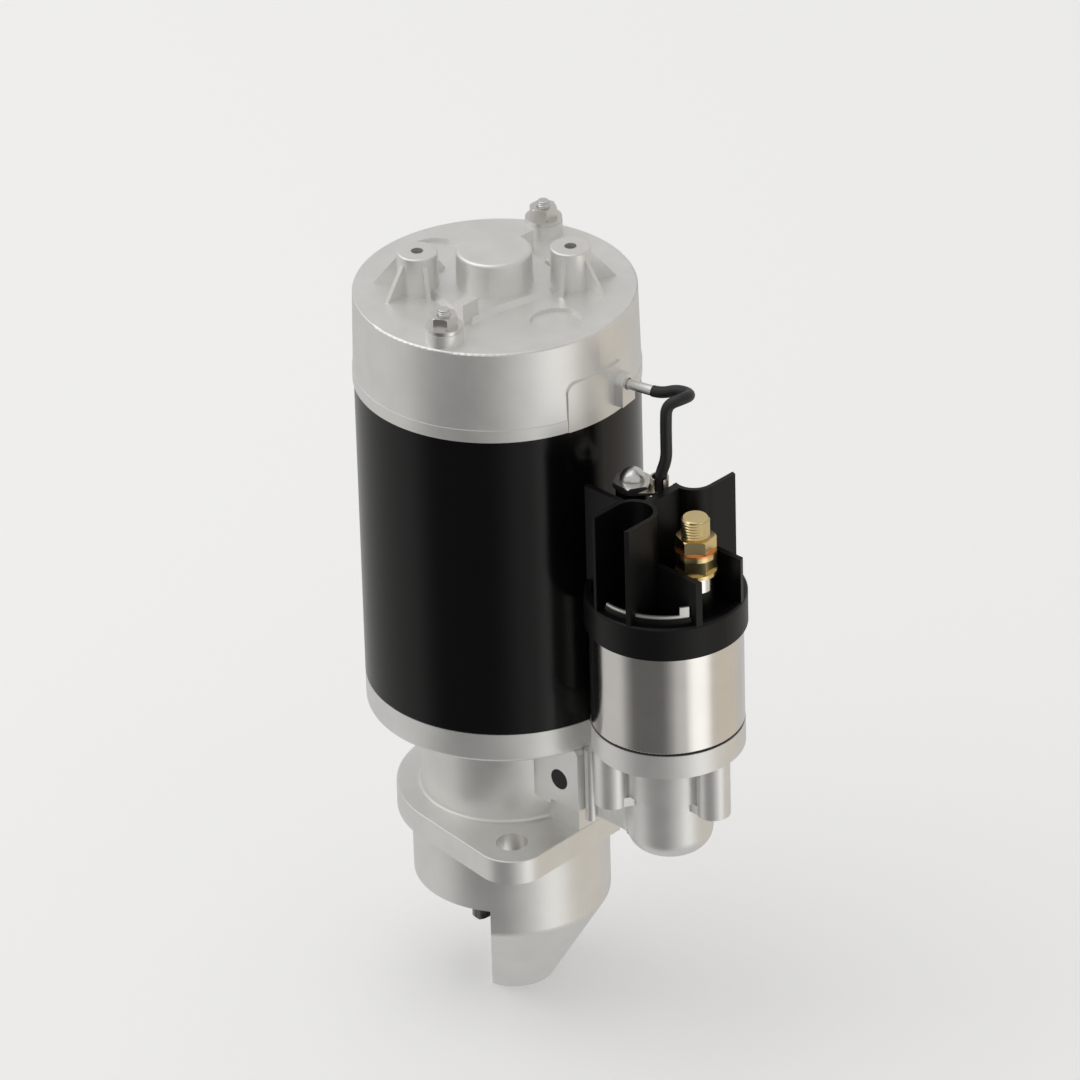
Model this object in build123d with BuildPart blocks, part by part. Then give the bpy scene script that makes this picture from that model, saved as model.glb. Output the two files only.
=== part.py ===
from build123d import *
import math
import os

os.makedirs("parts", exist_ok=True)

# A permanent-magnet starter motor with its solenoid alongside. Sizes are in millimetres. The
# origin is the centre of the locating pilot, on the mounting face. +Z runs up the motor's axis to
# the commutator end, and +X points at the solenoid.

# Clearances
journal_gap = 0.05  # radial, between a shaft and its bush
seat_gap = 0.05  # radial, between a fixed piece and its bore
side_gap = 0.3  # between pieces that pass each other
air_gap = 0.8  # radial, between the armature and the magnets

# Locating pilot, snout and pinion window
pilot_radius = 41.0
pilot_length = 30.4  # from the mounting face to the lip over the window
pilot_wall = 6.5
pilot_relief_height = 2.4  # of the undercut below the flange
pilot_relief_depth = 0.5
snout_straight = 42.0  # from the mounting face to the nose cone
snout_edge_round = 5.0
snout_length = 82.8
snout_tip_radius = 16.7
snout_wall = 4.5
nose_floor = 11.8  # thickness of the snout's tip
window_offset = 9.9  # from the shaft's axis to the open side
window_angle = -135.0

# Mounting flange
flange_thickness = 11.0
flange_round = 0.6
flange_radius = 47.0
ear_radius = 15.3
bolt_circle_radius = 52.0
bolt_hole_radius = 6.6
bolt_angle = -45.0

# Neck and the ring that carries the yoke
neck_radius = 36.7
neck_bore = 32.0
neck_round = 1.6
housing_height = 66.0  # from the mounting face to the yoke
ring_height = 13.3
ring_edge_round = 2.0
spigot_height = 2.5
spigot_wall = 3.6

# Lever box on the drive housing
block_half_width = 12.0
block_end = 51.2
block_top = 25.0
pivot_pad_half_width = 18.0
pivot_pad_start = 31.5
pivot_pad_end = 56.8
pivot_pad_top = 53.7
pivot_pad_round = 3.0
pivot_lobe_end = 41.0
pivot_lobe_bottom = 22.8
corner_rib_radius = 2.4
corner_rib_x = 58.8
corner_rib_y = 12.5
web_half_width = 11.0
web_bottom = 20.2
web_bottom_round = 2.0
web_corner_round = 7.0  # in plan, where the web meets the barrel's nose
lever_space_half_width = 9.0
lever_space_bottom = 24.0
lever_space_top = 49.0

# Solenoid seat and plunger barrel on the drive housing
solenoid_gap = 0.25  # between the yoke and the solenoid's cap
seat_radius = 31.4
seat_height = 10.6
barrel_radius = 19.3
barrel_length = 20.9
barrel_bore = 16.6
barrel_stop = 2.0  # height of the plunger's stop above the barrel's lower edge
nose_radius = 17.7
nose_bottom = 16.5
nose_round = 9.0
nose_bore = 14.5
nose_wall = 3.5
screw_boss_radius = 6.9
screw_boss_length = 25.0
screw_rib_half_width = 6.0
screw_circle_radius = 24.5

# Yoke and magnets
yoke_radius = 58.0
yoke_length = 136.5
yoke_wall = 6.0
yoke_edge_round = 0.5
magnet_count = 6
magnet_angle = 44.0
magnet_thickness = 10.2
magnet_length = 94.0
magnet_start = 18.0  # above the yoke's lower edge
clip_thickness = 0.8
clip_leg = 5.0

# Armature
shaft_radius = 8.5
nose_journal_radius = 6.2
core_shaft_radius = 10.0
rear_journal_radius = 7.0
shaft_end_play = 0.5
core_length = 82.0
core_start = 24.0  # above the yoke's lower edge
core_slots = 24
core_slot_width = 3.2
core_slot_depth = 13.0
slot_liner = 0.2  # round each conductor in its slot
winding_inner_radius = 20.0
winding_depth = 1.6  # below the core's surface
winding_overhang = 12.0
commutator_radius = 19.5
commutator_length = 25.0
commutator_start = 138.5  # above the yoke's lower edge
commutator_bars = 24
commutator_wall = 5.5
bar_gap = 0.8
bar_gap_depth = 1.2
riser_radius = 24.0
riser_length = 5.0
lead_cone_wall = 4.0

# Bearings
bush_wall = 2.0
nose_bush_length = 9.0
middle_bush_length = 9.0
rear_bush_length = 14.0
bearing_plate_inset = 3.35  # from the bore of the spigot
bearing_plate_thickness = 4.0
bearing_plate_depth = 8.0  # below the yoke's lower edge
bearing_hub_radius = 15.0
bearing_hub_drop = 3.0  # below the bearing plate
plate_screw_count = 3
plate_screw_radius = 2.0
plate_screw_length = 8.0
plate_screw_head_radius = 3.5
plate_screw_head = 2.0
plate_screw_inset = 5.5  # from the plate's edge

# End cover
cover_height = 39.6
cover_overhang = 0.2  # beyond the yoke
cover_draft = 0.8
cover_foot_lip = 0.3
cover_foot_height = 5.4
cover_wall = 5.6
cover_roof = 6.0
cover_edge_round = 0.8
centre_boss_radius = 15.3
boss_height = 16.9  # above the cover's roof
boss_draft = 1.0
centre_boss_round = 1.5
thread_boss_round = 0.8
plateau_height = 2.0
plateau_outline = [  # foot of one half; the other half is the same turned half a turn
    (7.0, -29.5),
    (16.2, -29.5),
    (17.0, -14.6),
    (22.8, 9.3),
    (21.7, 21.7),
]
block_inner = 9.2
block_outer = 14.0
block_near = 23.6
block_far = 32.5
block_height = 9.0
thread_boss_circle = 30.7
thread_boss_angle = 45.0
thread_boss_radius = 8.3
thread_hole_radius = 2.5
thread_hole_depth = 12.0
gusset_thickness = 1.8
gusset_drop = 3.5  # from the boss's top to the gusset's
gusset_angles = (-19.0, 42.0, 110.0, 239.0)
gusset_reaches = (18.9, 17.2, 12.8, 20.0)
dimple_radius = 10.8
dimple_depth = 1.5
dimple_inset = 18.1  # from the roof's edge to the middle of a recess
dimple_angle = -7.3
side_pad_height = 21.5
side_pad_left = 17.3
side_pad_right = 12.0
side_pad_proud = 0.8
side_pad_corner = 4.5
terminal_angle = 11.0
terminal_height = 12.1  # above the yoke's upper edge
terminal_block_radius = 4.6
terminal_block_proud = 4.6
terminal_block_drop = 3.2  # from the cover's lower edge to the block's
terminal_lip = 1.5  # wall of the block over the rod's bush

# Through studs with their flanged nuts
stud_angle = -70.0
stud_radius = 2.7
stud_chamfer = 0.6
stud_hole_radius = 3.0
stud_engagement = 10.0
stud_boss_radius = 7.7
stud_boss_height = 5.5
stud_flange_radius = 7.5
stud_flange_thickness = 1.8
stud_nut_flats = 10.0
stud_nut_height = 4.6
stud_nut_angle = 27.5
stud_end = 2.5  # beyond the nut

# Brush gear
brush_count = 4
brush_width = 14.0
brush_height = 17.0
brush_length = 15.0
holder_wall = 1.5
holder_length = 21.0
holder_gap = 2.0  # between the holder and the commutator
brush_plate_thickness = 2.0
brush_plate_radius = 43.0
brush_plate_bore = 13.0
brush_plate_drop = 3.5  # from the cover's roof to the plate
brush_post_radius = 4.0
brush_post_circle = 36.0
brush_roll_radius = 2.8
brush_roll_wall = 1.0

# Motor terminal rod, its bush and the strip that feeds the brushes
rod_radius = 2.15
rod_length = 11.5  # outside the terminal block
grommet_radius = 3.3
grommet_length = 8.4
bus_thickness = 1.6
bus_height = 6.0
bus_half_angle = 58.0

# Pinion and overrunning clutch
pinion_teeth = 11
pinion_module = 3.0
pinion_pressure_angle = 20.0
pinion_length = 21.7
pinion_reach = 53.0  # from the mounting face to the pinion's end, at rest
pinion_bevel = 1.5
pinion_angle = -7.0  # of the first tooth from +X
race_radius = 13.0
race_length = 28.0
roller_radius = 2.95
roller_count = 6
clutch_radius = 27.0
clutch_height = 37.5
clutch_cover_thickness = 1.5
sleeve_radius = 12.0
sleeve_end = 8.0  # above the middle of the collar's groove
collar_groove_radius = 13.6
collar_radius = 17.0
collar_flange = 2.0
snap_ring_radius = 13.2
snap_ring_thickness = 1.2
mesh_spring_radius = 14.4
mesh_spring_wire = 1.3
mesh_spring_turns = 6
stop_collar_radius = 9.5
stop_collar_length = 2.9

# Shift lever
pivot_x = 46.3
pivot_z = 36.4
lever_half_angle = 8.7  # degrees, either side of level
lever_thickness = 4.4
lever_boss_radius = 7.5
lever_boss_half_width = 8.7
lever_pad_radius = 3.6
pivot_pin_radius = 4.0
lever_bar_height = 8.0
fork_arm_height = 6.0
plug_radius = 4.5
plug_length = 3.4
fork_inner = 17.4
fork_outer = 20.0
fork_bar_start = 23.5  # from the pivot to the fork's cross bar
fork_bar_end = 26.5
prong_outer = 7.8
prong_height = 3.4
prong_bar_start = 25.5  # from the pivot to the prongs' cross bar
prong_bar_end = 31.0

# Solenoid
can_radius = 31.2
can_length = 44.9
can_wall = 1.8
can_floor = 3.0
gasket_thickness = 0.8
plunger_radius = 11.2
plunger_top = 92.5
plunger_neck_radius = 4.5
plunger_flange_radius = 8.5
plunger_flange_thickness = 3.0
spring_collar_radius = 15.8
spring_collar_thickness = 2.0
return_spring_radius = 14.2
return_spring_wire = 1.1
return_spring_turns = 5
plunger_gap = 0.1  # radial, in the guide tube
guide_tube_wall = 0.8
bobbin_wall = 1.3
bobbin_flange = 1.5
bobbin_radius = 29.0
coil_radius = 28.0
core_plate = 5.0
core_stub = 9.5
solenoid_screw_count = 3
solenoid_screw_radius = 2.5
solenoid_screw_head_radius = 4.3
solenoid_screw_head = 4.0

# Contact inside the solenoid's cap
contact_rod_radius = 2.0
contact_travel = 3.0
contact_disc_radius = 21.0
contact_disc_thickness = 2.5
contact_spring_radius = 3.6
contact_spring_wire = 0.6
contact_spring_turns = 3

# Solenoid cap
cap_radius = 33.0
cap_wall = 3.0
cap_height = 14.7
cap_edge_round = 1.2
cap_recess = 2.6
cap_roof = 3.0
chamber_radius = 26.0
shield_top = 43.0  # above the cap's rim
shield_bore = 8.0  # radius of the closed end of each U-shaped shield
shield_wall = 2.0
shield_centre = 17.9  # from the solenoid's axis to the middle of the closed end
shield_edge = 32.7  # radius at which the arms end
short_shield_start = -3.0  # the far shield has no wall short of this
spine_start = -2.8  # the spine joins the two shields
spine_end = 1.0
screen_wall = 2.5
screen_middle = 14.5  # from the solenoid's axis
screen_inner = 8.0
screen_outer = 29.0
partition_top = 19.5
partition_inner = 11.3
partition_wall = 2.5
strip_wall_inner = 28.4
strip_wall_outer = 30.4
strip_wall_top = 3.0  # above the cap's rim
strip_wall_start_angle = -100.0
strip_wall_end_angle = -27.5
stud_collar_radius = 7.0
stud_collar_top = 7.4  # above the cap's rim
pedestal_radius = 7.0
pedestal_top = 40.0

# Battery stud, motor stud and what they carry
terminal_spacing = 34.0
battery_stud_radius = 5.85
battery_stud_root = 5.6  # radius inside its nuts
battery_stud_top = 39.4  # above the cap's rim
battery_stud_chamfer = 1.0
terminal_head_radius = 8.0
terminal_head = 3.0
spacer_radius = 6.7
spacer_top = 14.5
lower_nut_flange = 1.6
lower_nut_flange_radius = 8.5
terminal_nut_flats = 14.4
terminal_nut_angle = -19.5
lower_nut_height = 6.4
terminal_washer_radius = 8.4
terminal_washer = 1.9
copper_washer = 0.9
upper_nut_height = 6.0
motor_stud_radius = 4.0
lug_thickness = 1.2
lug_radius = 7.0
lug_barrel_radius = 3.8
lug_barrel_height = 5.6
lug_barrel_wall = 0.7
lug_opening_angle = -50.0
lug_opening_width = 3.6
lug_reach = 11.25
lug_angle = 25.3  # angle of the lug about the motor stud
dome_nut_flats = 14.7
dome_nut_angle = -1.0
dome_nut_base = 2.4
dome_nut_radius = 5.3
dome_nut_round = 5.2
dome_nut_height = 7.7
motor_stud_reach = 2.0  # above the dome nut's hexagon
strip_radius = 30.0
strip_thickness = 0.9
strip_height = 1.2
strip_start_angle = -99.0
strip_end_angle = -28.6
tab_start_angle = -36.0
tab_height = 4.8

# Motor lead, from the terminal rod to the lug on the motor stud
lead_radius = 2.4
lead_straight = 3.8  # beyond the rod's end
lead_from_rod = [  # from the rod's end to each bend
    (8.5, 5.8, 1.2),
    (15.8, 5.5, 1.8),
    (18.2, -1.2, 3.8),
]
lead_from_lug = [  # from the lug's barrel to each bend
    (2.1, 2.6, 37.9),
    (2.2, 2.0, 29.8),
    (2.0, 2.2, 21.3),
    (2.2, 2.0, 13.3),
    (0.3, 0.3, 6.3),
    (-0.3, -0.3, 0.4),
]

# Heights up the motor's axis
ring_bottom = housing_height - ring_height
yoke_top = housing_height + yoke_length
roof_underside = yoke_top + cover_height - cover_roof
roof_top = yoke_top + cover_height
boss_top = roof_top + boss_height
stud_boss_top = roof_top + stud_boss_height
tip_floor = nose_floor - snout_length
plate_bottom = housing_height - bearing_plate_depth
terminal_z = yoke_top + terminal_height
core_bottom = housing_height + core_start
core_top = core_bottom + core_length
commutator_bottom = housing_height + commutator_start
commutator_top = commutator_bottom + commutator_length

# Heights up the solenoid's axis
seat_top = housing_height + seat_height
can_bottom = seat_top + gasket_thickness
can_top = can_bottom + can_length
cap_top = can_top + cap_height
cap_floor = cap_top - cap_recess
chamber_top = cap_floor - cap_roof
barrel_bottom = housing_height - barrel_length
barrel_stop_z = barrel_bottom + barrel_stop
screw_boss_bottom = housing_height - screw_boss_length
core_plate_top = can_top - side_gap
core_plate_bottom = core_plate_top - core_plate
stub_bottom = core_plate_bottom - core_stub
bobbin_bottom = can_bottom + can_floor
head_bottom = chamber_top - terminal_head
contact_top = head_bottom - contact_travel - side_gap
contact_bottom = contact_top - contact_disc_thickness

# Radii and reaches that follow from their neighbours
yoke_bore = yoke_radius - yoke_wall
spigot_radius = yoke_bore - seat_gap
spigot_bore = spigot_radius - spigot_wall
stud_circle_radius = yoke_bore - side_gap - stud_radius
bearing_plate_radius = spigot_bore - bearing_plate_inset
plate_screw_circle = bearing_plate_radius - plate_screw_inset
cover_radius = yoke_radius + cover_overhang
cover_top_radius = cover_radius - cover_draft
cover_foot_radius = cover_radius + cover_foot_lip
cover_bore = cover_radius - cover_wall
dimple_circle = cover_top_radius - dimple_inset
terminal_block_reach = cover_radius + terminal_block_proud
bus_outer = cover_bore - side_gap
bus_radius = bus_outer - bus_thickness
solenoid_offset = yoke_radius + solenoid_gap + cap_radius
magnet_outer = yoke_bore - seat_gap
magnet_inner = magnet_outer - magnet_thickness
armature_radius = magnet_inner - air_gap
winding_radius = armature_radius - winding_depth
nose_bush_radius = nose_journal_radius + journal_gap + bush_wall
middle_bush_radius = shaft_radius + journal_gap + bush_wall
rear_bush_radius = rear_journal_radius + journal_gap + bush_wall
guide_bore = plunger_radius + plunger_gap
guide_radius = guide_bore + guide_tube_wall
can_bore = can_radius - can_wall

# The lever rocks from one side of level to the other: its fork carries the clutch's collar, and
# its prongs the plunger
swing = math.radians(lever_half_angle)
fork_arm = pivot_x
prong_arm = solenoid_offset - pivot_x
groove_z = pivot_z + fork_arm * math.sin(swing)
plunger_neck_z = pivot_z - prong_arm * math.sin(swing)
plunger_travel = 2 * prong_arm * math.sin(swing)
groove_half_height = lever_pad_radius + side_gap
plunger_shoulder = plunger_neck_z + groove_half_height
plunger_flange_bottom = plunger_neck_z - groove_half_height - plunger_flange_thickness
spring_collar_bottom = barrel_stop_z + side_gap


def polar(radius, angle):
    """Point at a radius and an angle in degrees about the motor's axis."""
    return (radius * math.cos(math.radians(angle)), radius * math.sin(math.radians(angle)))


def solenoid_plane(height):
    """Level plane at a height, centred on the solenoid's axis."""
    return Plane(origin=(solenoid_offset, 0, height))


def outline(*points):
    """Sketch of a closed outline, its points given as (radius, height)."""
    with BuildSketch() as section:
        with BuildLine():
            Polyline(*points, close=True)
        make_face()
    return section.sketch


def rims(builder, radius):
    """Circular edges of one radius on the part being built, lowest first."""
    circles = builder.edges().filter_by(GeomType.CIRCLE)
    return circles.filter_by(lambda edge: abs(edge.radius - radius) < seat_gap).sort_by(Axis.Z)


def finish(part, name):
    """Name a finished part and write it out."""
    part.label = name
    export_step(part, f"parts/{name}.step")


# ---------------------------------------------------------------------------------------
# Drive housing
# ---------------------------------------------------------------------------------------

cone_slope = (pilot_radius - snout_tip_radius) / (snout_length - snout_straight)
cone_wall = snout_wall * math.sqrt(1 + cone_slope**2)
relief_radius = pilot_radius - pilot_relief_depth
pilot_bore = pilot_radius - pilot_wall
cone_bore_start = -snout_straight - (pilot_radius - cone_wall - pilot_bore) / cone_slope
tip_bore_radius = pilot_radius - cone_wall - cone_slope * (-tip_floor - snout_straight)
nose_reach = nose_radius + web_corner_round
web_reach = math.sqrt(nose_reach**2 - (web_half_width + web_corner_round) ** 2)
web_end = solenoid_offset - web_reach * nose_radius / nose_reach

with BuildPart() as barrel_nose:
    with BuildSketch(solenoid_plane(nose_bottom)):
        Circle(nose_radius)
    extrude(amount=housing_height - nose_bottom)
    fillet(barrel_nose.edges().group_by(Axis.Z)[0], nose_round)

# The lever's web runs out to the barrel's nose and meets it in two soft corners
with BuildPart() as lever_web:
    with BuildSketch(Plane.XY.offset(web_bottom)) as web_plan:
        with Locations((solenoid_offset / 2, 0)):
            Rectangle(solenoid_offset, 2 * web_half_width)
        with Locations((solenoid_offset, 0)):
            Circle(nose_radius)
        nose_corners = web_plan.vertices().filter_by(
            lambda corner: solenoid_offset - nose_radius < corner.X < solenoid_offset
        )
        fillet(nose_corners, web_corner_round)
        with Locations((web_end / 2, 0)):
            Rectangle(web_end, 2 * nose_radius, mode=Mode.INTERSECT)
    extrude(amount=barrel_bottom - web_bottom)
    lower_edges = lever_web.edges().group_by(Axis.Z)[0]
    fillet(lower_edges.sort_by(Axis.X)[1:-1], web_bottom_round)
    with BuildSketch(Plane.XY.offset(barrel_bottom)):
        with Locations((solenoid_offset / 2, 0)):
            Rectangle(solenoid_offset, 2 * web_half_width)
    extrude(amount=housing_height - barrel_bottom)

with BuildPart() as drive_housing:
    # Mounting flange and neck
    with BuildSketch():
        Circle(flange_radius)
        with PolarLocations(bolt_circle_radius, 2, start_angle=bolt_angle):
            Circle(ear_radius)
        with Locations((block_end / 2, 0)):
            Rectangle(block_end, 2 * block_half_width)
        make_hull()
    extrude(amount=flange_thickness)
    fillet(drive_housing.edges().group_by(Axis.Z)[-1], flange_round)
    with BuildSketch():
        Circle(neck_radius)
    extrude(amount=housing_height)
    with BuildSketch(Plane.XY.offset(ring_bottom)):
        Circle(yoke_radius)
    extrude(amount=ring_height)
    fillet(rims(drive_housing, neck_radius), neck_round)
    fillet(rims(drive_housing, yoke_radius)[0], ring_edge_round)
    with BuildSketch(Plane.XY.offset(housing_height)):
        Circle(spigot_radius)
    extrude(amount=spigot_height)
    # Pilot and snout
    with BuildSketch(Plane.XZ):
        add(
            outline(
                (0, flange_thickness),
                (relief_radius, flange_thickness),
                (relief_radius, -pilot_relief_height),
                (pilot_radius, -pilot_relief_height),
                (pilot_radius, -snout_straight),
                (snout_tip_radius, -snout_length),
                (0, -snout_length),
            )
        )
    revolve(axis=Axis.Z)
    fillet(rims(drive_housing, pilot_radius)[0], snout_edge_round)
    # Lever box: a foot on the flange, a web to the barrel, the pivot pads and two ribs
    with BuildSketch():
        with Locations((block_end / 2, 0)):
            Rectangle(block_end, 2 * block_half_width)
    extrude(amount=block_top)
    add(lever_web.part)
    with BuildSketch(Plane.XZ) as pivot_pad:
        add(
            outline(
                (pivot_pad_start, pivot_lobe_bottom),
                (pivot_lobe_end, pivot_lobe_bottom),
                (pivot_lobe_end, block_top),
                (pivot_pad_end, block_top),
                (pivot_pad_end, pivot_pad_top),
                (pivot_pad_start, pivot_pad_top),
            )
        )
        lobe_corner = pivot_pad.vertices().group_by(Axis.Y)[0].sort_by(Axis.X)[0]
        upper_corner = pivot_pad.vertices().group_by(Axis.Y)[-1].sort_by(Axis.X)[-1]
        fillet([lobe_corner, upper_corner], pivot_pad_round)
    extrude(amount=pivot_pad_half_width, both=True)
    with BuildSketch(Plane.XY.offset(web_bottom)):
        with Locations((corner_rib_x, -corner_rib_y), (corner_rib_x, corner_rib_y)):
            Circle(corner_rib_radius)
    extrude(amount=pivot_pad_top - web_bottom)
    # Solenoid seat, barrel and screw bosses
    with BuildSketch(solenoid_plane(housing_height)):
        Circle(seat_radius)
    extrude(amount=seat_height)
    with BuildSketch(solenoid_plane(barrel_bottom)):
        Circle(barrel_radius)
    extrude(amount=barrel_length)
    add(barrel_nose.part)
    with BuildSketch(solenoid_plane(screw_boss_bottom)):
        with PolarLocations(screw_circle_radius, solenoid_screw_count):
            Circle(screw_boss_radius)
    extrude(amount=screw_boss_length)
    with BuildSketch(solenoid_plane(screw_boss_bottom)):
        with PolarLocations(screw_circle_radius / 2, solenoid_screw_count):
            Rectangle(screw_circle_radius, 2 * screw_rib_half_width)
    extrude(amount=barrel_bottom - screw_boss_bottom)
    # Room for the clutch, the bearing plate and the nose bush
    with BuildSketch(Plane.XZ):
        add(
            outline(
                (0, housing_height + spigot_height),
                (spigot_bore, housing_height + spigot_height),
                (spigot_bore, housing_height),
                (bearing_plate_radius + seat_gap, housing_height),
                (bearing_plate_radius + seat_gap, plate_bottom),
                (neck_bore, plate_bottom),
                (neck_bore, 0),
                (pilot_bore, 0),
                (pilot_bore, cone_bore_start),
                (tip_bore_radius, tip_floor),
                (nose_bush_radius + seat_gap, tip_floor),
                (nose_bush_radius + seat_gap, tip_floor - nose_bush_length),
                (0, tip_floor - nose_bush_length),
            )
        )
    revolve(axis=Axis.Z, mode=Mode.SUBTRACT)
    # Room for the lever
    with BuildSketch(Plane.XY.offset(lever_space_bottom)):
        with Locations((solenoid_offset / 2, 0)):
            Rectangle(solenoid_offset, 2 * lever_space_half_width)
    extrude(amount=lever_space_top - lever_space_bottom, mode=Mode.SUBTRACT)
    # Plunger bore and its stop
    with BuildSketch(solenoid_plane(barrel_stop_z)):
        Circle(barrel_bore)
    extrude(amount=seat_top - barrel_stop_z, mode=Mode.SUBTRACT)
    with BuildSketch(solenoid_plane(nose_bottom + nose_wall)):
        Circle(nose_bore)
    extrude(amount=barrel_stop_z - nose_bottom - nose_wall, mode=Mode.SUBTRACT)
    # Open side of the snout, where a ring gear reaches the pinion
    with BuildSketch(Plane.XY.offset(-snout_length)):
        with PolarLocations(window_offset + pilot_radius / 2, 1, start_angle=window_angle):
            Rectangle(pilot_radius, 2 * pilot_radius)
    extrude(amount=snout_length - pilot_length, mode=Mode.SUBTRACT)
    # Flange bolt holes
    with BuildSketch():
        with PolarLocations(bolt_circle_radius, 2, start_angle=bolt_angle):
            Circle(bolt_hole_radius)
    extrude(amount=flange_thickness, mode=Mode.SUBTRACT)
    # Sockets for the through studs
    with BuildSketch(Plane.XY.offset(housing_height - stud_engagement)):
        with PolarLocations(stud_circle_radius, 2, start_angle=stud_angle):
            Circle(stud_radius + seat_gap)
    extrude(amount=stud_engagement + spigot_height, mode=Mode.SUBTRACT)
    # Holes for the bearing plate's screws
    with BuildSketch(Plane.XY.offset(plate_bottom)):
        with PolarLocations(plate_screw_circle, plate_screw_count):
            Circle(plate_screw_radius + seat_gap)
    extrude(amount=bearing_plate_thickness - plate_screw_length, mode=Mode.SUBTRACT)
    # Pivot hole, with a wider mouth for each plug
    with BuildSketch(Plane.XZ):
        with Locations((pivot_x, pivot_z)):
            Circle(pivot_pin_radius + seat_gap)
    extrude(amount=pivot_pad_half_width, both=True, mode=Mode.SUBTRACT)
    for side in (-1, 1):
        with BuildSketch(Plane.XZ.offset(side * pivot_pad_half_width)):
            with Locations((pivot_x, pivot_z)):
                Circle(plug_radius + seat_gap)
        extrude(amount=-side * plug_length, mode=Mode.SUBTRACT)
    # Solenoid screw holes, with the heads let into the bosses
    with BuildSketch(solenoid_plane(screw_boss_bottom)):
        with PolarLocations(screw_circle_radius, solenoid_screw_count):
            Circle(solenoid_screw_radius + seat_gap)
    extrude(amount=screw_boss_length + seat_height, mode=Mode.SUBTRACT)
    with BuildSketch(solenoid_plane(screw_boss_bottom)):
        with PolarLocations(screw_circle_radius, solenoid_screw_count):
            Circle(solenoid_screw_head_radius + seat_gap)
    extrude(amount=solenoid_screw_head + side_gap, mode=Mode.SUBTRACT)

finish(drive_housing.part, "drive_housing")

# ---------------------------------------------------------------------------------------
# Yoke and magnets
# ---------------------------------------------------------------------------------------

with BuildPart() as yoke:
    with BuildSketch(Plane.XY.offset(housing_height)):
        Circle(yoke_radius)
        Circle(yoke_bore, mode=Mode.SUBTRACT)
    extrude(amount=yoke_length)
    fillet(rims(yoke, yoke_radius), yoke_edge_round)

finish(yoke.part, "yoke")


def ring_sector(inner, outer, start, sweep):
    """Sketch of a sector of a ring, its angles in degrees."""
    middle = start + sweep / 2
    end = start + sweep
    with BuildSketch() as sector:
        with BuildLine():
            Line(polar(inner, start), polar(outer, start))
            ThreePointArc(polar(outer, start), polar(outer, middle), polar(outer, end))
            Line(polar(outer, end), polar(inner, end))
            ThreePointArc(polar(inner, end), polar(inner, middle), polar(inner, start))
        make_face()
    return sector.sketch


magnet_step = 360 / magnet_count
magnet_bottom = housing_height + magnet_start

with BuildPart() as magnets:
    for number in range(magnet_count):
        middle = stud_angle + magnet_step * (number + 0.5)
        with BuildSketch(Plane.XY.offset(magnet_bottom)):
            add(ring_sector(magnet_inner, magnet_outer, middle - magnet_angle / 2, magnet_angle))
        extrude(amount=magnet_length)

finish(magnets.part, "magnets")

# One spring clip in each space between magnets that holds no through stud
clip_gap = math.degrees(side_gap / magnet_outer)
clip_wall_angle = math.degrees(clip_thickness / magnet_outer)
clip_angle = magnet_step - magnet_angle - 2 * clip_gap

with BuildPart() as magnet_clips:
    for number in range(magnet_count):
        middle = stud_angle + magnet_step * number
        start = middle - clip_angle / 2
        if number % (magnet_count // 2) != 0:
            with BuildSketch(Plane.XY.offset(magnet_bottom)):
                add(ring_sector(magnet_outer - clip_thickness, magnet_outer, start, clip_angle))
                leg_inner = magnet_outer - clip_leg
                add(ring_sector(leg_inner, magnet_outer, start, clip_wall_angle))
                leg_start = start + clip_angle - clip_wall_angle
                add(ring_sector(leg_inner, magnet_outer, leg_start, clip_wall_angle))
            extrude(amount=magnet_length)

finish(magnet_clips.part, "magnet_clips")

# ---------------------------------------------------------------------------------------
# Bearings
# ---------------------------------------------------------------------------------------

hub_bottom = plate_bottom - bearing_hub_drop

with BuildPart() as bearing_plate:
    with BuildSketch(Plane.XY.offset(plate_bottom)):
        Circle(bearing_plate_radius)
    extrude(amount=bearing_plate_thickness)
    with BuildSketch(Plane.XY.offset(hub_bottom)):
        Circle(bearing_hub_radius)
    extrude(amount=housing_height - hub_bottom)
    with BuildSketch(Plane.XY.offset(hub_bottom)):
        Circle(middle_bush_radius + seat_gap)
        with PolarLocations(plate_screw_circle, plate_screw_count):
            Circle(plate_screw_radius + seat_gap)
    extrude(amount=housing_height - hub_bottom, mode=Mode.SUBTRACT)

finish(bearing_plate.part, "bearing_plate")

with BuildPart() as plate_screws:
    with BuildSketch(Plane.XY.offset(plate_bottom + bearing_plate_thickness)):
        with PolarLocations(plate_screw_circle, plate_screw_count):
            Circle(plate_screw_head_radius)
    extrude(amount=plate_screw_head)
    with BuildSketch(Plane.XY.offset(plate_bottom + bearing_plate_thickness)):
        with PolarLocations(plate_screw_circle, plate_screw_count):
            Circle(plate_screw_radius)
    extrude(amount=side_gap - plate_screw_length)

finish(plate_screws.part, "plate_screws")


def make_bush(bore, outer, bottom, length, name):
    """Plain bush standing at a height."""
    with BuildPart() as bush:
        with BuildSketch(Plane.XY.offset(bottom)):
            Circle(outer)
            Circle(bore, mode=Mode.SUBTRACT)
        extrude(amount=length)
    finish(bush.part, name)


make_bush(
    nose_journal_radius + journal_gap,
    nose_bush_radius,
    tip_floor - nose_bush_length,
    nose_bush_length,
    "nose_bush",
)
make_bush(
    shaft_radius + journal_gap,
    middle_bush_radius,
    hub_bottom + (housing_height - hub_bottom - middle_bush_length) / 2,
    middle_bush_length,
    "middle_bush",
)
make_bush(
    rear_journal_radius + journal_gap,
    rear_bush_radius,
    roof_underside,
    rear_bush_length,
    "rear_bush",
)

# ---------------------------------------------------------------------------------------
# Armature
# ---------------------------------------------------------------------------------------

nose_shoulder = tip_floor + shaft_end_play
rear_shoulder = roof_underside - shaft_end_play

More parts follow.
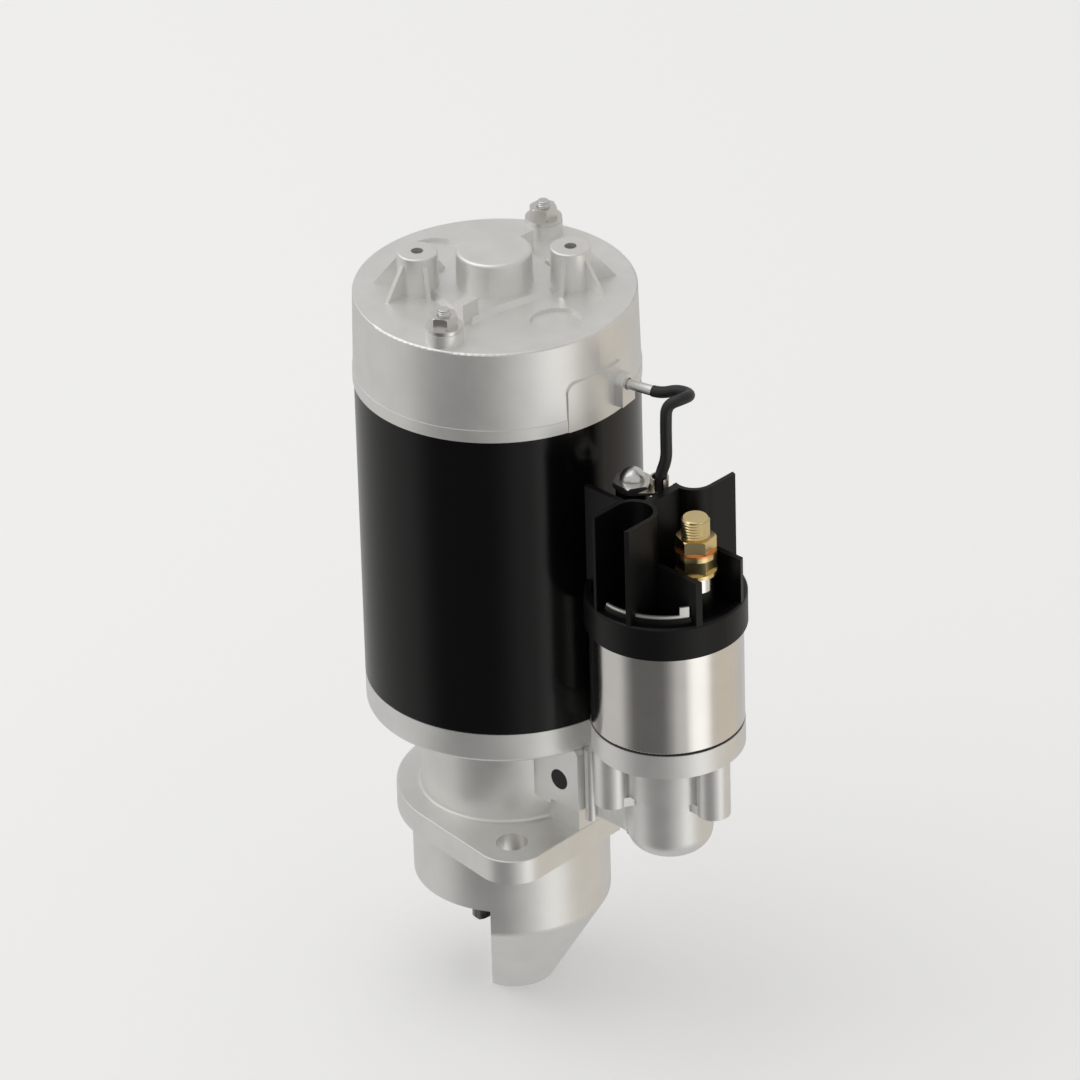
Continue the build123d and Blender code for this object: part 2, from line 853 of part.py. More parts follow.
with BuildPart() as armature_shaft:
    with BuildSketch(Plane.XZ):
        add(
            outline(
                (0, nose_shoulder - nose_bush_length),
                (nose_journal_radius, nose_shoulder - nose_bush_length),
                (nose_journal_radius, nose_shoulder),
                (shaft_radius, nose_shoulder),
                (shaft_radius, housing_height + shaft_end_play),
                (core_shaft_radius, housing_height + shaft_end_play),
                (core_shaft_radius, rear_shoulder),
                (rear_journal_radius, rear_shoulder),
                (rear_journal_radius, rear_shoulder + rear_bush_length),
                (0, rear_shoulder + rear_bush_length),
            )
        )
    revolve(axis=Axis.Z)

finish(armature_shaft.part, "armature_shaft")

with BuildPart() as stop_collar:
    with BuildSketch(Plane.XY.offset(nose_shoulder)):
        Circle(stop_collar_radius)
        Circle(shaft_radius + seat_gap, mode=Mode.SUBTRACT)
    extrude(amount=stop_collar_length)

finish(stop_collar.part, "stop_collar")

slot_floor = armature_radius - core_slot_depth

with BuildPart() as armature_core:
    with BuildSketch(Plane.XY.offset(core_bottom)):
        Circle(armature_radius)
        Circle(core_shaft_radius + seat_gap, mode=Mode.SUBTRACT)
        with PolarLocations(armature_radius, core_slots):
            Rectangle(2 * core_slot_depth, core_slot_width, mode=Mode.SUBTRACT)
    extrude(amount=core_length)

finish(armature_core.part, "armature_core")

bar_inner = slot_floor + slot_liner
winding_bottom = core_bottom - slot_liner - winding_overhang
winding_top = core_top + slot_liner + winding_overhang

with BuildPart() as armature_windings:
    for end in (winding_bottom, core_top + slot_liner):
        with BuildSketch(Plane.XY.offset(end)):
            Circle(winding_radius)
            Circle(winding_inner_radius, mode=Mode.SUBTRACT)
        extrude(amount=winding_overhang)
    with BuildSketch(Plane.XY.offset(winding_bottom)):
        with PolarLocations((bar_inner + winding_radius) / 2 - slot_liner, core_slots):
            Rectangle(winding_radius - bar_inner, core_slot_width - 2 * slot_liner)
    extrude(amount=winding_top - winding_bottom)
    with BuildSketch(Plane.XZ):
        add(
            outline(
                (winding_radius - lead_cone_wall, winding_top),
                (winding_radius, winding_top),
                (riser_radius, commutator_bottom - slot_liner),
                (riser_radius - lead_cone_wall, commutator_bottom - slot_liner),
            )
        )
    revolve(axis=Axis.Z)

finish(armature_windings.part, "armature_windings")

commutator_bore = commutator_radius - commutator_wall

with BuildPart() as commutator:
    with BuildSketch(Plane.XY.offset(commutator_bottom)):
        Circle(commutator_radius)
    extrude(amount=commutator_length)
    with BuildSketch(Plane.XY.offset(commutator_bottom)):
        Circle(riser_radius)
    extrude(amount=riser_length)
    with BuildSketch(Plane.XY.offset(commutator_bottom)):
        Circle(commutator_bore)
        with PolarLocations(riser_radius, commutator_bars):
            groove_depth = riser_radius - commutator_radius + bar_gap_depth
            Rectangle(2 * groove_depth, bar_gap)
    extrude(amount=commutator_length, mode=Mode.SUBTRACT)

finish(commutator.part, "commutator")

with BuildPart() as commutator_hub:
    with BuildSketch(Plane.XY.offset(commutator_bottom)):
        Circle(commutator_bore - seat_gap)
        Circle(core_shaft_radius + seat_gap, mode=Mode.SUBTRACT)
    extrude(amount=commutator_length)

finish(commutator_hub.part, "commutator_hub")

# ---------------------------------------------------------------------------------------
# End cover
# ---------------------------------------------------------------------------------------

spigot_start = yoke_top - spigot_height
foot_top = yoke_top + cover_foot_height
draft_slope = math.tan(math.radians(boss_draft))
brush_plate_top = roof_underside - brush_plate_drop
brush_plate_bottom = brush_plate_top - brush_plate_thickness
grommet_end = terminal_block_reach - terminal_lip

with BuildPart() as side_pad:
    with BuildSketch(Plane.YZ.offset(cover_bore / 2)) as pad_outline:
        with Locations(
            ((side_pad_right - side_pad_left) / 2, yoke_top + side_pad_height / 2)
        ):
            Rectangle(side_pad_left + side_pad_right, side_pad_height)
        corner = pad_outline.vertices().group_by(Axis.Y)[-1].sort_by(Axis.X)[0]
        fillet(corner, side_pad_corner)
    extrude(amount=cover_radius)
    with BuildSketch(Plane.XY.offset(yoke_top)):
        Circle(cover_radius + side_pad_proud)
    extrude(amount=cover_height, mode=Mode.INTERSECT)

terminal_facing = Plane(
    origin=(0, 0, terminal_z),
    x_dir=(-math.sin(math.radians(terminal_angle)), math.cos(math.radians(terminal_angle)), 0),
    z_dir=(math.cos(math.radians(terminal_angle)), math.sin(math.radians(terminal_angle)), 0),
)

with BuildPart() as end_cover:
    with BuildSketch(Plane.XZ):
        add(
            outline(
                (0, yoke_top),
                (cover_foot_radius, yoke_top),
                (cover_foot_radius, foot_top),
                (cover_radius, foot_top),
                (cover_top_radius, roof_top),
                (0, roof_top),
            )
        )
    revolve(axis=Axis.Z)
    fillet(rims(end_cover, cover_top_radius), cover_edge_round)
    with BuildSketch(Plane.XY.offset(spigot_start)):
        Circle(spigot_radius)
    extrude(amount=spigot_height)
    # Side pad and the terminal block on it
    add(side_pad.part)
    with BuildSketch(terminal_facing.offset(terminal_block_reach)):
        Circle(terminal_block_radius)
        block_foot = terminal_height - terminal_block_drop
        with Locations((0, -block_foot / 2)):
            Rectangle(2 * terminal_block_radius, block_foot)
    extrude(amount=cover_bore - terminal_block_reach)
    # Centre boss and the two threaded bosses
    with BuildSketch(Plane.XY.offset(roof_top)):
        Circle(centre_boss_radius + boss_height * draft_slope)
        with PolarLocations(thread_boss_circle, 2, start_angle=thread_boss_angle):
            Circle(thread_boss_radius + boss_height * draft_slope)
    extrude(amount=boss_height, taper=boss_draft)
    fillet(rims(end_cover, centre_boss_radius)[-1], centre_boss_round)
    fillet(rims(end_cover, thread_boss_radius)[-2:], thread_boss_round)
    # Gussets, mirrored from one threaded boss to the other
    for boss_angle, side in ((thread_boss_angle + 180, 1), (thread_boss_angle, -1)):
        for gusset_angle, reach in zip(gusset_angles, gusset_reaches):
            heading = math.radians(boss_angle + side * gusset_angle)
            gusset_plane = Plane(
                origin=(*polar(thread_boss_circle, boss_angle), roof_top),
                x_dir=(math.cos(heading), math.sin(heading), 0),
                z_dir=(math.sin(heading), -math.cos(heading), 0),
            )
            with BuildSketch(gusset_plane):
                add(
                    outline(
                        (0, -cover_roof / 2),
                        (reach, -cover_roof / 2),
                        (reach, 0),
                        (thread_boss_radius, boss_height - gusset_drop),
                        (0, boss_height - gusset_drop),
                    )
                )
            extrude(amount=gusset_thickness / 2, both=True)
    # Raised plateau with sloping sides, and a block at each end of it
    with BuildSketch(Plane.XY.offset(roof_top)):
        add(outline(*plateau_outline, *[(-x, -y) for x, y in plateau_outline]))
    extrude(amount=plateau_height, taper=45)
    with BuildSketch(Plane.XY.offset(roof_top)):
        for side in (-1, 1):
            block_x = side * (block_inner + block_outer) / 2
            block_y = -side * (block_near + block_far) / 2
            with Locations((block_x, block_y)):
                Rectangle(block_outer - block_inner, block_far - block_near)
    extrude(amount=block_height)
    # Seats for the through studs
    with BuildSketch(Plane.XY.offset(roof_underside)):
        with PolarLocations(stud_circle_radius, 2, start_angle=stud_angle):
            Circle(stud_boss_radius)
    extrude(amount=stud_boss_top - roof_underside)
    # Two shallow round recesses
    with BuildSketch(Plane.XY.offset(roof_top)):
        with PolarLocations(dimple_circle, 2, start_angle=dimple_angle):
            Circle(dimple_radius)
    extrude(amount=-dimple_depth, mode=Mode.SUBTRACT)
    # Inside
    with BuildSketch(Plane.XZ):
        add(
            outline(
                (0, spigot_start),
                (spigot_bore, spigot_start),
                (spigot_bore, foot_top),
                (cover_bore, foot_top),
                (cover_bore, roof_underside),
                (rear_bush_radius + seat_gap, roof_underside),
                (rear_bush_radius + seat_gap, roof_underside + rear_bush_length),
                (0, roof_underside + rear_bush_length),
            )
        )
    revolve(axis=Axis.Z, mode=Mode.SUBTRACT)
    with BuildSketch(Plane.XY.offset(brush_plate_top)):
        with PolarLocations(brush_post_circle, brush_count):
            Circle(brush_post_radius)
    extrude(amount=brush_plate_drop)
    # Holes for the through studs, the bosses' threads and the terminal rod's bush
    with BuildSketch(Plane.XY.offset(spigot_start)):
        with PolarLocations(stud_circle_radius, 2, start_angle=stud_angle):
            Circle(stud_hole_radius)
    extrude(amount=stud_boss_top - spigot_start, mode=Mode.SUBTRACT)
    with BuildSketch(Plane.XY.offset(boss_top)):
        with PolarLocations(thread_boss_circle, 2, start_angle=thread_boss_angle):
            Circle(thread_hole_radius)
    extrude(amount=-thread_hole_depth, mode=Mode.SUBTRACT)
    with BuildSketch(terminal_facing.offset(terminal_block_reach)):
        Circle(rod_radius + side_gap)
    extrude(amount=-terminal_lip, mode=Mode.SUBTRACT)
    with BuildSketch(terminal_facing.offset(grommet_end)):
        Circle(grommet_radius + seat_gap)
    extrude(amount=bus_radius - grommet_end, mode=Mode.SUBTRACT)

finish(end_cover.part, "end_cover")

# ---------------------------------------------------------------------------------------
# Through studs and their flanged nuts
# ---------------------------------------------------------------------------------------

stud_flange_top = stud_boss_top + stud_flange_thickness
stud_nut_top = stud_flange_top + stud_nut_height
stud_bottom = housing_height - stud_engagement + side_gap

with BuildPart() as through_studs:
    with BuildSketch(Plane.XY.offset(stud_bottom)):
        with PolarLocations(stud_circle_radius, 2, start_angle=stud_angle):
            Circle(stud_radius)
    extrude(amount=stud_nut_top + stud_end - stud_bottom)
    chamfer(through_studs.edges().group_by(Axis.Z)[-1], stud_chamfer)

finish(through_studs.part, "through_studs")


def nut_blank(plane, flats, height):
    """Hexagonal prism whose corners are turned off at both ends."""
    corner_radius = flats / math.sqrt(3)
    with BuildPart() as turned_blank:
        with BuildSketch(plane):
            Circle(corner_radius)
        extrude(amount=height)
        chamfer(turned_blank.edges().filter_by(GeomType.CIRCLE), (corner_radius - flats / 2) / 2)
    with BuildPart() as blank:
        with BuildSketch(plane):
            RegularPolygon(flats / 2, 6, major_radius=False)
        extrude(amount=height)
        add(turned_blank.part, mode=Mode.INTERSECT)
    return blank.part


with BuildPart() as through_nuts:
    for angle in (stud_angle, stud_angle + 180):
        nut_plane = Plane(origin=(*polar(stud_circle_radius, angle), stud_flange_top))
        turned_plane = nut_plane.rotated((0, 0, stud_nut_angle))
        add(nut_blank(turned_plane, stud_nut_flats, stud_nut_height))
    with BuildSketch(Plane.XY.offset(stud_boss_top)):
        with PolarLocations(stud_circle_radius, 2, start_angle=stud_angle):
            Circle(stud_flange_radius)
    extrude(amount=stud_flange_thickness)
    with BuildSketch(Plane.XY.offset(stud_boss_top)):
        with PolarLocations(stud_circle_radius, 2, start_angle=stud_angle):
            Circle(stud_radius + seat_gap)
    extrude(amount=stud_flange_thickness + stud_nut_height, mode=Mode.SUBTRACT)

finish(through_nuts.part, "through_nuts")

# ---------------------------------------------------------------------------------------
# Brush gear
# ---------------------------------------------------------------------------------------

brush_first_angle = 180 / brush_count
brush_inner = commutator_radius + side_gap
brush_outer = brush_inner + brush_length
brush_top = commutator_top - side_gap
brush_bottom = brush_top - brush_height
holder_inner = commutator_radius + holder_gap
holder_bottom = brush_bottom - side_gap - holder_wall
pocket_width = brush_width + 2 * side_gap
pocket_outer = holder_inner + holder_length - holder_wall

with BuildPart() as brush_plate:
    with BuildSketch(Plane.XY.offset(brush_plate_bottom)):
        Circle(brush_plate_radius)
        Circle(brush_plate_bore, mode=Mode.SUBTRACT)
    extrude(amount=brush_plate_thickness)

finish(brush_plate.part, "brush_plate")

with BuildPart() as brush_holders:
    with BuildSketch(Plane.XY.offset(holder_bottom)):
        with PolarLocations(
            holder_inner + holder_length / 2, brush_count, start_angle=brush_first_angle
        ):
            Rectangle(holder_length, pocket_width + 2 * holder_wall)
    extrude(amount=brush_plate_bottom - holder_bottom)
    with BuildSketch(Plane.XY.offset(brush_bottom - side_gap)):
        with PolarLocations(pocket_outer / 2, brush_count, start_angle=brush_first_angle):
            Rectangle(pocket_outer, pocket_width)
    extrude(amount=brush_plate_bottom - holder_bottom, mode=Mode.SUBTRACT)

finish(brush_holders.part, "brush_holders")

with BuildPart() as brushes:
    with BuildSketch(Plane.XY.offset(brush_bottom)):
        brush_middle = brush_outer - (brush_length + holder_gap) / 2
        with PolarLocations(brush_middle, brush_count, brush_first_angle):
            Rectangle(brush_length + holder_gap, brush_width)
        Circle(brush_inner, mode=Mode.SUBTRACT)
    extrude(amount=brush_height)

finish(brushes.part, "brushes")

roll_circle = pocket_outer - side_gap - brush_roll_radius

with BuildPart() as brush_springs:
    with BuildSketch(Plane.XY.offset(brush_bottom)):
        with PolarLocations(roll_circle, brush_count, brush_first_angle):
            Circle(brush_roll_radius)
            Circle(brush_roll_radius - brush_roll_wall, mode=Mode.SUBTRACT)
    extrude(amount=brush_height)

finish(brush_springs.part, "brush_springs")

with BuildPart() as bus_strip:
    with BuildSketch(Plane.XY.offset(terminal_z - bus_height / 2)):
        bus_start = terminal_angle - bus_half_angle
        add(ring_sector(bus_radius, bus_outer, bus_start, 2 * bus_half_angle))
    extrude(amount=bus_height)

finish(bus_strip.part, "bus_strip")

with BuildPart() as terminal_grommet:
    with BuildSketch(terminal_facing.offset(grommet_end)):
        Circle(grommet_radius)
        Circle(rod_radius + seat_gap, mode=Mode.SUBTRACT)
    extrude(amount=-grommet_length)

finish(terminal_grommet.part, "terminal_grommet")

with BuildPart() as terminal_rod:
    with BuildSketch(terminal_facing.offset(bus_outer + seat_gap)):
        Circle(rod_radius)
    extrude(amount=terminal_block_reach + rod_length - bus_outer - seat_gap)

finish(terminal_rod.part, "terminal_rod")

# ---------------------------------------------------------------------------------------
# Pinion and overrunning clutch
# ---------------------------------------------------------------------------------------

pinion_bottom = -pinion_reach
pinion_top = pinion_bottom + pinion_length
race_top = pinion_top + race_length
pitch_radius = pinion_module * pinion_teeth / 2
pinion_radius = pitch_radius + pinion_module
pinion_root = pitch_radius - 1.25 * pinion_module
sliding_bore = shaft_radius + journal_gap


def involute_flank(steps):
    """Points up one side of a tooth: the unwinding of a string from the base circle."""
    pressure = math.radians(pinion_pressure_angle)
    base = pitch_radius * math.cos(pressure)
    half_tooth = math.pi / (2 * pinion_teeth) + math.tan(pressure) - pressure
    last = math.sqrt((pinion_radius / base) ** 2 - 1)
    points = []
    for step in range(steps + 1):
        roll = last * step / steps
        radius = base * math.sqrt(1 + roll**2)
        angle = half_tooth - (roll - math.atan(roll))
        points.append((radius * math.cos(angle), radius * math.sin(angle)))
    return points


with BuildSketch() as pinion_tooth:
    flank = involute_flank(4)
    other_flank = [(x, -y) for x, y in reversed(flank)]
    with BuildLine():
        Spline(*flank)
        ThreePointArc(flank[-1], (pinion_radius, 0), other_flank[0])
        Spline(*other_flank)
        Polyline(other_flank[-1], (0, 0), flank[0])
    make_face()

with BuildPart() as pinion_blank:
    with BuildSketch(Plane.XY.offset(pinion_bottom)):
        Circle(pinion_radius)
    extrude(amount=pinion_length)
    chamfer(pinion_blank.edges().filter_by(GeomType.CIRCLE), pinion_bevel)

with BuildPart() as pinion:
    with BuildSketch(Plane.XY.offset(pinion_bottom)):
        Circle(pinion_root)
        with PolarLocations(0, pinion_teeth, start_angle=pinion_angle):
            add(pinion_tooth.sketch)
    extrude(amount=pinion_length)
    add(pinion_blank.part, mode=Mode.INTERSECT)
    with BuildSketch(Plane.XY.offset(pinion_top)):
        Circle(race_radius)
    extrude(amount=race_length)
    with BuildSketch(Plane.XY.offset(pinion_bottom)):
        Circle(sliding_bore)
    extrude(amount=pinion_length + race_length, mode=Mode.SUBTRACT)

finish(pinion.part, "pinion")

shell_bottom = pinion_top + side_gap + clutch_cover_thickness
shell_top = shell_bottom + clutch_height
roller_circle = race_radius + side_gap + roller_radius
roller_bottom = shell_bottom + side_gap
sleeve_top = groove_z + sleeve_end
collar_bottom = groove_z - groove_half_height - collar_flange
collar_top = groove_z + groove_half_height + collar_flange

with BuildPart() as clutch_shell:
    with BuildSketch(Plane.XY.offset(shell_bottom)):
        Circle(clutch_radius)
    extrude(amount=clutch_height)
    fillet(clutch_shell.edges().group_by(Axis.Z)[-1], pinion_bevel)
    with BuildSketch(Plane.XY.offset(shell_top)):
        Circle(sleeve_radius)
    extrude(amount=sleeve_top - shell_top)
    with BuildSketch(Plane.XY.offset(shell_bottom)):
        Circle(race_radius + side_gap)
        with PolarLocations(roller_circle, roller_count):
            Circle(roller_radius + seat_gap)
    extrude(amount=race_top + side_gap - shell_bottom, mode=Mode.SUBTRACT)
    with BuildSketch(Plane.XY.offset(shell_bottom)):
        Circle(sliding_bore)
    extrude(amount=sleeve_top - shell_bottom, mode=Mode.SUBTRACT)

finish(clutch_shell.part, "clutch_shell")

with BuildPart() as clutch_cover:
    with BuildSketch(Plane.XY.offset(shell_bottom)):
        Circle(clutch_radius)
        Circle(race_radius + side_gap, mode=Mode.SUBTRACT)
    extrude(amount=-clutch_cover_thickness)

finish(clutch_cover.part, "clutch_cover")

with BuildPart() as clutch_rollers:
    with BuildSketch(Plane.XY.offset(roller_bottom)):
        with PolarLocations(roller_circle, roller_count):
            Circle(roller_radius)
    extrude(amount=race_top - roller_bottom)

finish(clutch_rollers.part, "clutch_rollers")

with BuildPart() as shift_collar:
    with BuildSketch(Plane.XY.offset(collar_bottom)):
        Circle(collar_radius)
        Circle(sleeve_radius + seat_gap, mode=Mode.SUBTRACT)
    extrude(amount=collar_top - collar_bottom)
    with BuildSketch(Plane.XY.offset(groove_z - groove_half_height)):
        Circle(collar_radius)
        Circle(collar_groove_radius, mode=Mode.SUBTRACT)
    extrude(amount=2 * groove_half_height, mode=Mode.SUBTRACT)

finish(shift_collar.part, "shift_collar")

with BuildPart() as collar_ring:
    with BuildSketch(Plane.XY.offset(collar_top)):
        Circle(snap_ring_radius)
        Circle(sleeve_radius + seat_gap, mode=Mode.SUBTRACT)
    extrude(amount=snap_ring_thickness)

finish(collar_ring.part, "collar_ring")


def make_coil_spring(plane, height, radius, wire, turns, name):
    """Round-wire coil spring that stands on a plane and ends at a height above it."""
    rise = height - 2 * (wire + seat_gap)
    with BuildPart() as spring:
        with BuildLine(plane.offset(wire + seat_gap)) as coil:
            Helix(rise / turns, rise, radius)
        with BuildSketch(Plane(origin=coil.line @ 0, z_dir=coil.line % 0)):
            Circle(wire)
        sweep(path=coil.line, is_frenet=True)
    finish(spring.part, name)


make_coil_spring(
    Plane.XY.offset(shell_top),
    collar_bottom - shell_top,
    mesh_spring_radius,
    mesh_spring_wire,
    mesh_spring_turns,
    "mesh_spring",
)

# ---------------------------------------------------------------------------------------
# Shift lever
# ---------------------------------------------------------------------------------------

# The lever's own plane: its x runs from the pin towards the plunger, its z across the lever
lever_plane = Plane(
    origin=(pivot_x, 0, pivot_z),
    x_dir=(math.cos(swing), 0, -math.sin(swing)),
    z_dir=(0, -1, 0),
)
prong_inner = plunger_neck_radius + side_gap
pad_inner = collar_groove_radius + side_gap


# Bars of the lever: from and to, along the lever; height; from and to, out from its middle plane
lever_bars = (
    (-fork_bar_end, -fork_bar_start, lever_bar_height, 0, fork_outer),
    (-fork_arm, -fork_bar_start, fork_arm_height, fork_inner, fork_outer),
    (prong_bar_start, prong_bar_end, lever_bar_height, 0, prong_outer),
    (prong_bar_start, prong_arm, prong_height, prong_inner, prong_outer),
)

with BuildPart() as shift_lever:
    with BuildSketch(lever_plane):
        Circle(lever_boss_radius)
        with Locations((-fork_bar_start, 0), (prong_bar_start, 0)):
            Circle(lever_bar_height / 2)
        make_hull()
    extrude(amount=lever_thickness / 2, both=True)
    with BuildSketch(lever_plane):
        Circle(lever_boss_radius)
    extrude(amount=lever_boss_half_width, both=True)
    for side in (-1, 1):
        for start, end, height, inner, outer in lever_bars:
            with BuildSketch(lever_plane.offset(side * inner)):
                with Locations(((start + end) / 2, 0)):
                    Rectangle(end - start, height)
            extrude(amount=side * (outer - inner))
        with BuildSketch(lever_plane.offset(side * pad_inner)):
            with Locations((-fork_arm, 0)):
                Circle(lever_pad_radius)
        extrude(amount=side * (fork_outer - pad_inner))
        with BuildSketch(lever_plane.offset(side * prong_inner)):
            with Locations((prong_arm, 0)):
                Circle(lever_pad_radius)
        extrude(amount=side * (prong_outer - prong_inner))
    with BuildSketch(lever_plane):
        Circle(pivot_pin_radius + journal_gap)
    extrude(amount=lever_boss_half_width, both=True, mode=Mode.SUBTRACT)

finish(shift_lever.part, "shift_lever")

pin_half_length = pivot_pad_half_width - plug_length

with BuildPart() as pivot_pin:
    with BuildSketch(Plane.XZ):
        with Locations((pivot_x, pivot_z)):
            Circle(pivot_pin_radius)
    extrude(amount=pin_half_length, both=True)

finish(pivot_pin.part, "pivot_pin")

with BuildPart() as pivot_plugs:
    for side in (-1, 1):
        with BuildSketch(Plane.XZ.offset(side * pin_half_length)):
            with Locations((pivot_x, pivot_z)):
                Circle(plug_radius)
        extrude(amount=side * plug_length)

finish(pivot_plugs.part, "pivot_plugs")

# ---------------------------------------------------------------------------------------
# Solenoid
# ---------------------------------------------------------------------------------------

solenoid_axis = Axis((solenoid_offset, 0, 0), (0, 0, 1))
solenoid_section = Plane(origin=(solenoid_offset, 0, 0), x_dir=(1, 0, 0), z_dir=(0, -1, 0))

with BuildPart() as plunger:
    with BuildSketch(solenoid_section):
        flange_top = plunger_flange_bottom + plunger_flange_thickness
        add(
            outline(
                (0, plunger_flange_bottom),
                (plunger_flange_radius, plunger_flange_bottom),
                (plunger_flange_radius, flange_top),
                (plunger_neck_radius, flange_top),
                (plunger_neck_radius, plunger_shoulder),
                (plunger_radius, plunger_shoulder),
                (plunger_radius, plunger_top),
                (0, plunger_top),
            )
        )
    revolve(axis=solenoid_axis)

finish(plunger.part, "plunger")


def make_solenoid_ring(bore, outer, bottom, top, name):
    """Ring about the solenoid's axis between two heights."""
    with BuildPart() as ring:
        with BuildSketch(solenoid_plane(bottom)):
            Circle(outer)
            Circle(bore, mode=Mode.SUBTRACT)
        extrude(amount=top - bottom)
    finish(ring.part, name)


collar_seat = spring_collar_bottom + spring_collar_thickness

make_solenoid_ring(
    plunger_radius + seat_gap,
    spring_collar_radius,
    spring_collar_bottom,
    collar_seat,
    "spring_collar",
)
make_coil_spring(
    solenoid_plane(collar_seat),
    can_bottom - collar_seat,
    return_spring_radius,
    return_spring_wire,
    return_spring_turns,
    "return_spring",
)

with BuildPart() as solenoid_gasket:
    with BuildSketch(solenoid_plane(seat_top)):
        Circle(can_radius - side_gap)
        Circle(barrel_bore, mode=Mode.SUBTRACT)
        with PolarLocations(screw_circle_radius, solenoid_screw_count):
            Circle(solenoid_screw_radius + seat_gap, mode=Mode.SUBTRACT)
    extrude(amount=gasket_thickness)

finish(solenoid_gasket.part, "solenoid_gasket")

with BuildPart() as solenoid_can:
    with BuildSketch(solenoid_section):
        add(
            outline(
                (guide_radius + seat_gap, can_bottom),
                (can_radius, can_bottom),
                (can_radius, can_top),
                (can_bore, can_top),
                (can_bore, bobbin_bottom),
                (guide_radius + seat_gap, bobbin_bottom),
            )
        )
    revolve(axis=solenoid_axis)
    fillet(rims(solenoid_can, can_radius)[0], yoke_edge_round)
    with BuildSketch(solenoid_plane(can_bottom)):
        with PolarLocations(screw_circle_radius, solenoid_screw_count):
            Circle(solenoid_screw_radius + seat_gap)
    extrude(amount=can_floor, mode=Mode.SUBTRACT)

finish(solenoid_can.part, "solenoid_can")

make_solenoid_ring(guide_bore, guide_radius, can_bottom, core_plate_bottom, "guide_tube")

bobbin_bore = guide_radius + seat_gap
coil_bore = bobbin_bore + bobbin_wall

with BuildPart() as solenoid_bobbin:
    with BuildSketch(solenoid_section):
        add(
            outline(
                (bobbin_bore, bobbin_bottom),
                (bobbin_radius, bobbin_bottom),
                (bobbin_radius, bobbin_bottom + bobbin_flange),
                (coil_bore, bobbin_bottom + bobbin_flange),
                (coil_bore, core_plate_bottom - bobbin_flange),
                (bobbin_radius, core_plate_bottom - bobbin_flange),
                (bobbin_radius, core_plate_bottom),
                (bobbin_bore, core_plate_bottom),
            )
        )
    revolve(axis=solenoid_axis)

finish(solenoid_bobbin.part, "solenoid_bobbin")

make_solenoid_ring(
    coil_bore + seat_gap,
    coil_radius,
    bobbin_bottom + bobbin_flange + seat_gap,
    core_plate_bottom - bobbin_flange - seat_gap,
    "solenoid_coil",
)

with BuildPart() as solenoid_core:
    with BuildSketch(solenoid_plane(core_plate_bottom)):
        Circle(can_bore - seat_gap)
    extrude(amount=core_plate)
    with BuildSketch(solenoid_plane(stub_bottom)):
        Circle(guide_bore - seat_gap)
    extrude(amount=core_stub)
    with BuildSketch(solenoid_plane(stub_bottom)):
        Circle(contact_rod_radius + side_gap)
    extrude(amount=core_stub + core_plate, mode=Mode.SUBTRACT)

finish(solenoid_core.part, "solenoid_core")

screw_head_bottom = screw_boss_bottom + side_gap

with BuildPart() as solenoid_screws:
    with BuildSketch(solenoid_plane(screw_head_bottom)):
        with PolarLocations(screw_circle_radius, solenoid_screw_count):
            Circle(solenoid_screw_head_radius)
    extrude(amount=solenoid_screw_head)
    with BuildSketch(solenoid_plane(screw_head_bottom)):
        with PolarLocations(screw_circle_radius, solenoid_screw_count):
            Circle(solenoid_screw_radius)
    extrude(amount=bobbin_bottom - side_gap - screw_head_bottom)

finish(solenoid_screws.part, "solenoid_screws")

# ---------------------------------------------------------------------------------------
# Contact
# ---------------------------------------------------------------------------------------

contact_rod_bottom = plunger_top + plunger_travel - contact_travel + side_gap

with BuildPart() as contact_rod:
    with BuildSketch(solenoid_plane(contact_rod_bottom)):
        Circle(contact_rod_radius)
    extrude(amount=contact_top - contact_rod_bottom)

finish(contact_rod.part, "contact_rod")

make_solenoid_ring(
    contact_rod_radius + seat_gap,
    contact_disc_radius,
    contact_bottom,
    contact_top,
    "contact_disc",
)
make_coil_spring(
    solenoid_plane(contact_top),
    chamber_top - contact_top,
    contact_spring_radius,
    contact_spring_wire,
    contact_spring_turns,
    "contact_spring",
)

# ---------------------------------------------------------------------------------------
# Solenoid cap
# ---------------------------------------------------------------------------------------

shield_outer = shield_bore + shield_wall
battery_x = solenoid_offset + terminal_spacing / 2
motor_x = solenoid_offset - terminal_spacing / 2

# Two U-shaped shields with their open ends outward, a spine between them and a screen beside one
with BuildPart() as shields:
    with BuildSketch(solenoid_plane(cap_floor)):
        with Locations((0, -shield_centre), (0, shield_centre)):
            Circle(shield_outer)
        with Locations((0, -shield_edge), (0, shield_edge)):
            Rectangle(2 * shield_outer, 2 * (shield_edge - shield_centre))
        with Locations((0, -shield_centre), (0, shield_centre)):
            Circle(shield_bore, mode=Mode.SUBTRACT)
        with Locations((0, -shield_edge), (0, shield_edge)):
            arm_length = 2 * (shield_edge - shield_centre)
            Rectangle(2 * shield_bore, arm_length, mode=Mode.SUBTRACT)
        with Locations((short_shield_start - shield_edge / 2, shield_edge / 2)):
            Rectangle(shield_edge, shield_edge, mode=Mode.SUBTRACT)
        with Locations(((spine_start + spine_end) / 2, 0)):
            Rectangle(spine_end - spine_start, 2 * (shield_centre - shield_bore))
        with Locations((-(screen_inner + screen_outer) / 2, -screen_middle)):
            Rectangle(screen_outer - screen_inner, screen_wall)
        Circle(shield_edge, mode=Mode.INTERSECT)
    extrude(amount=cap_recess + shield_top)

with BuildPart() as partitions:
    with BuildSketch(solenoid_plane(cap_floor)):
        for side in (-1, 1):
            with Locations((0, side * (partition_inner + partition_wall / 2))):
                Rectangle(2 * cap_radius, partition_wall)
        Circle(shield_edge, mode=Mode.INTERSECT)
        Rectangle(2 * shield_bore, 2 * cap_radius, mode=Mode.SUBTRACT)
    extrude(amount=cap_recess + partition_top)

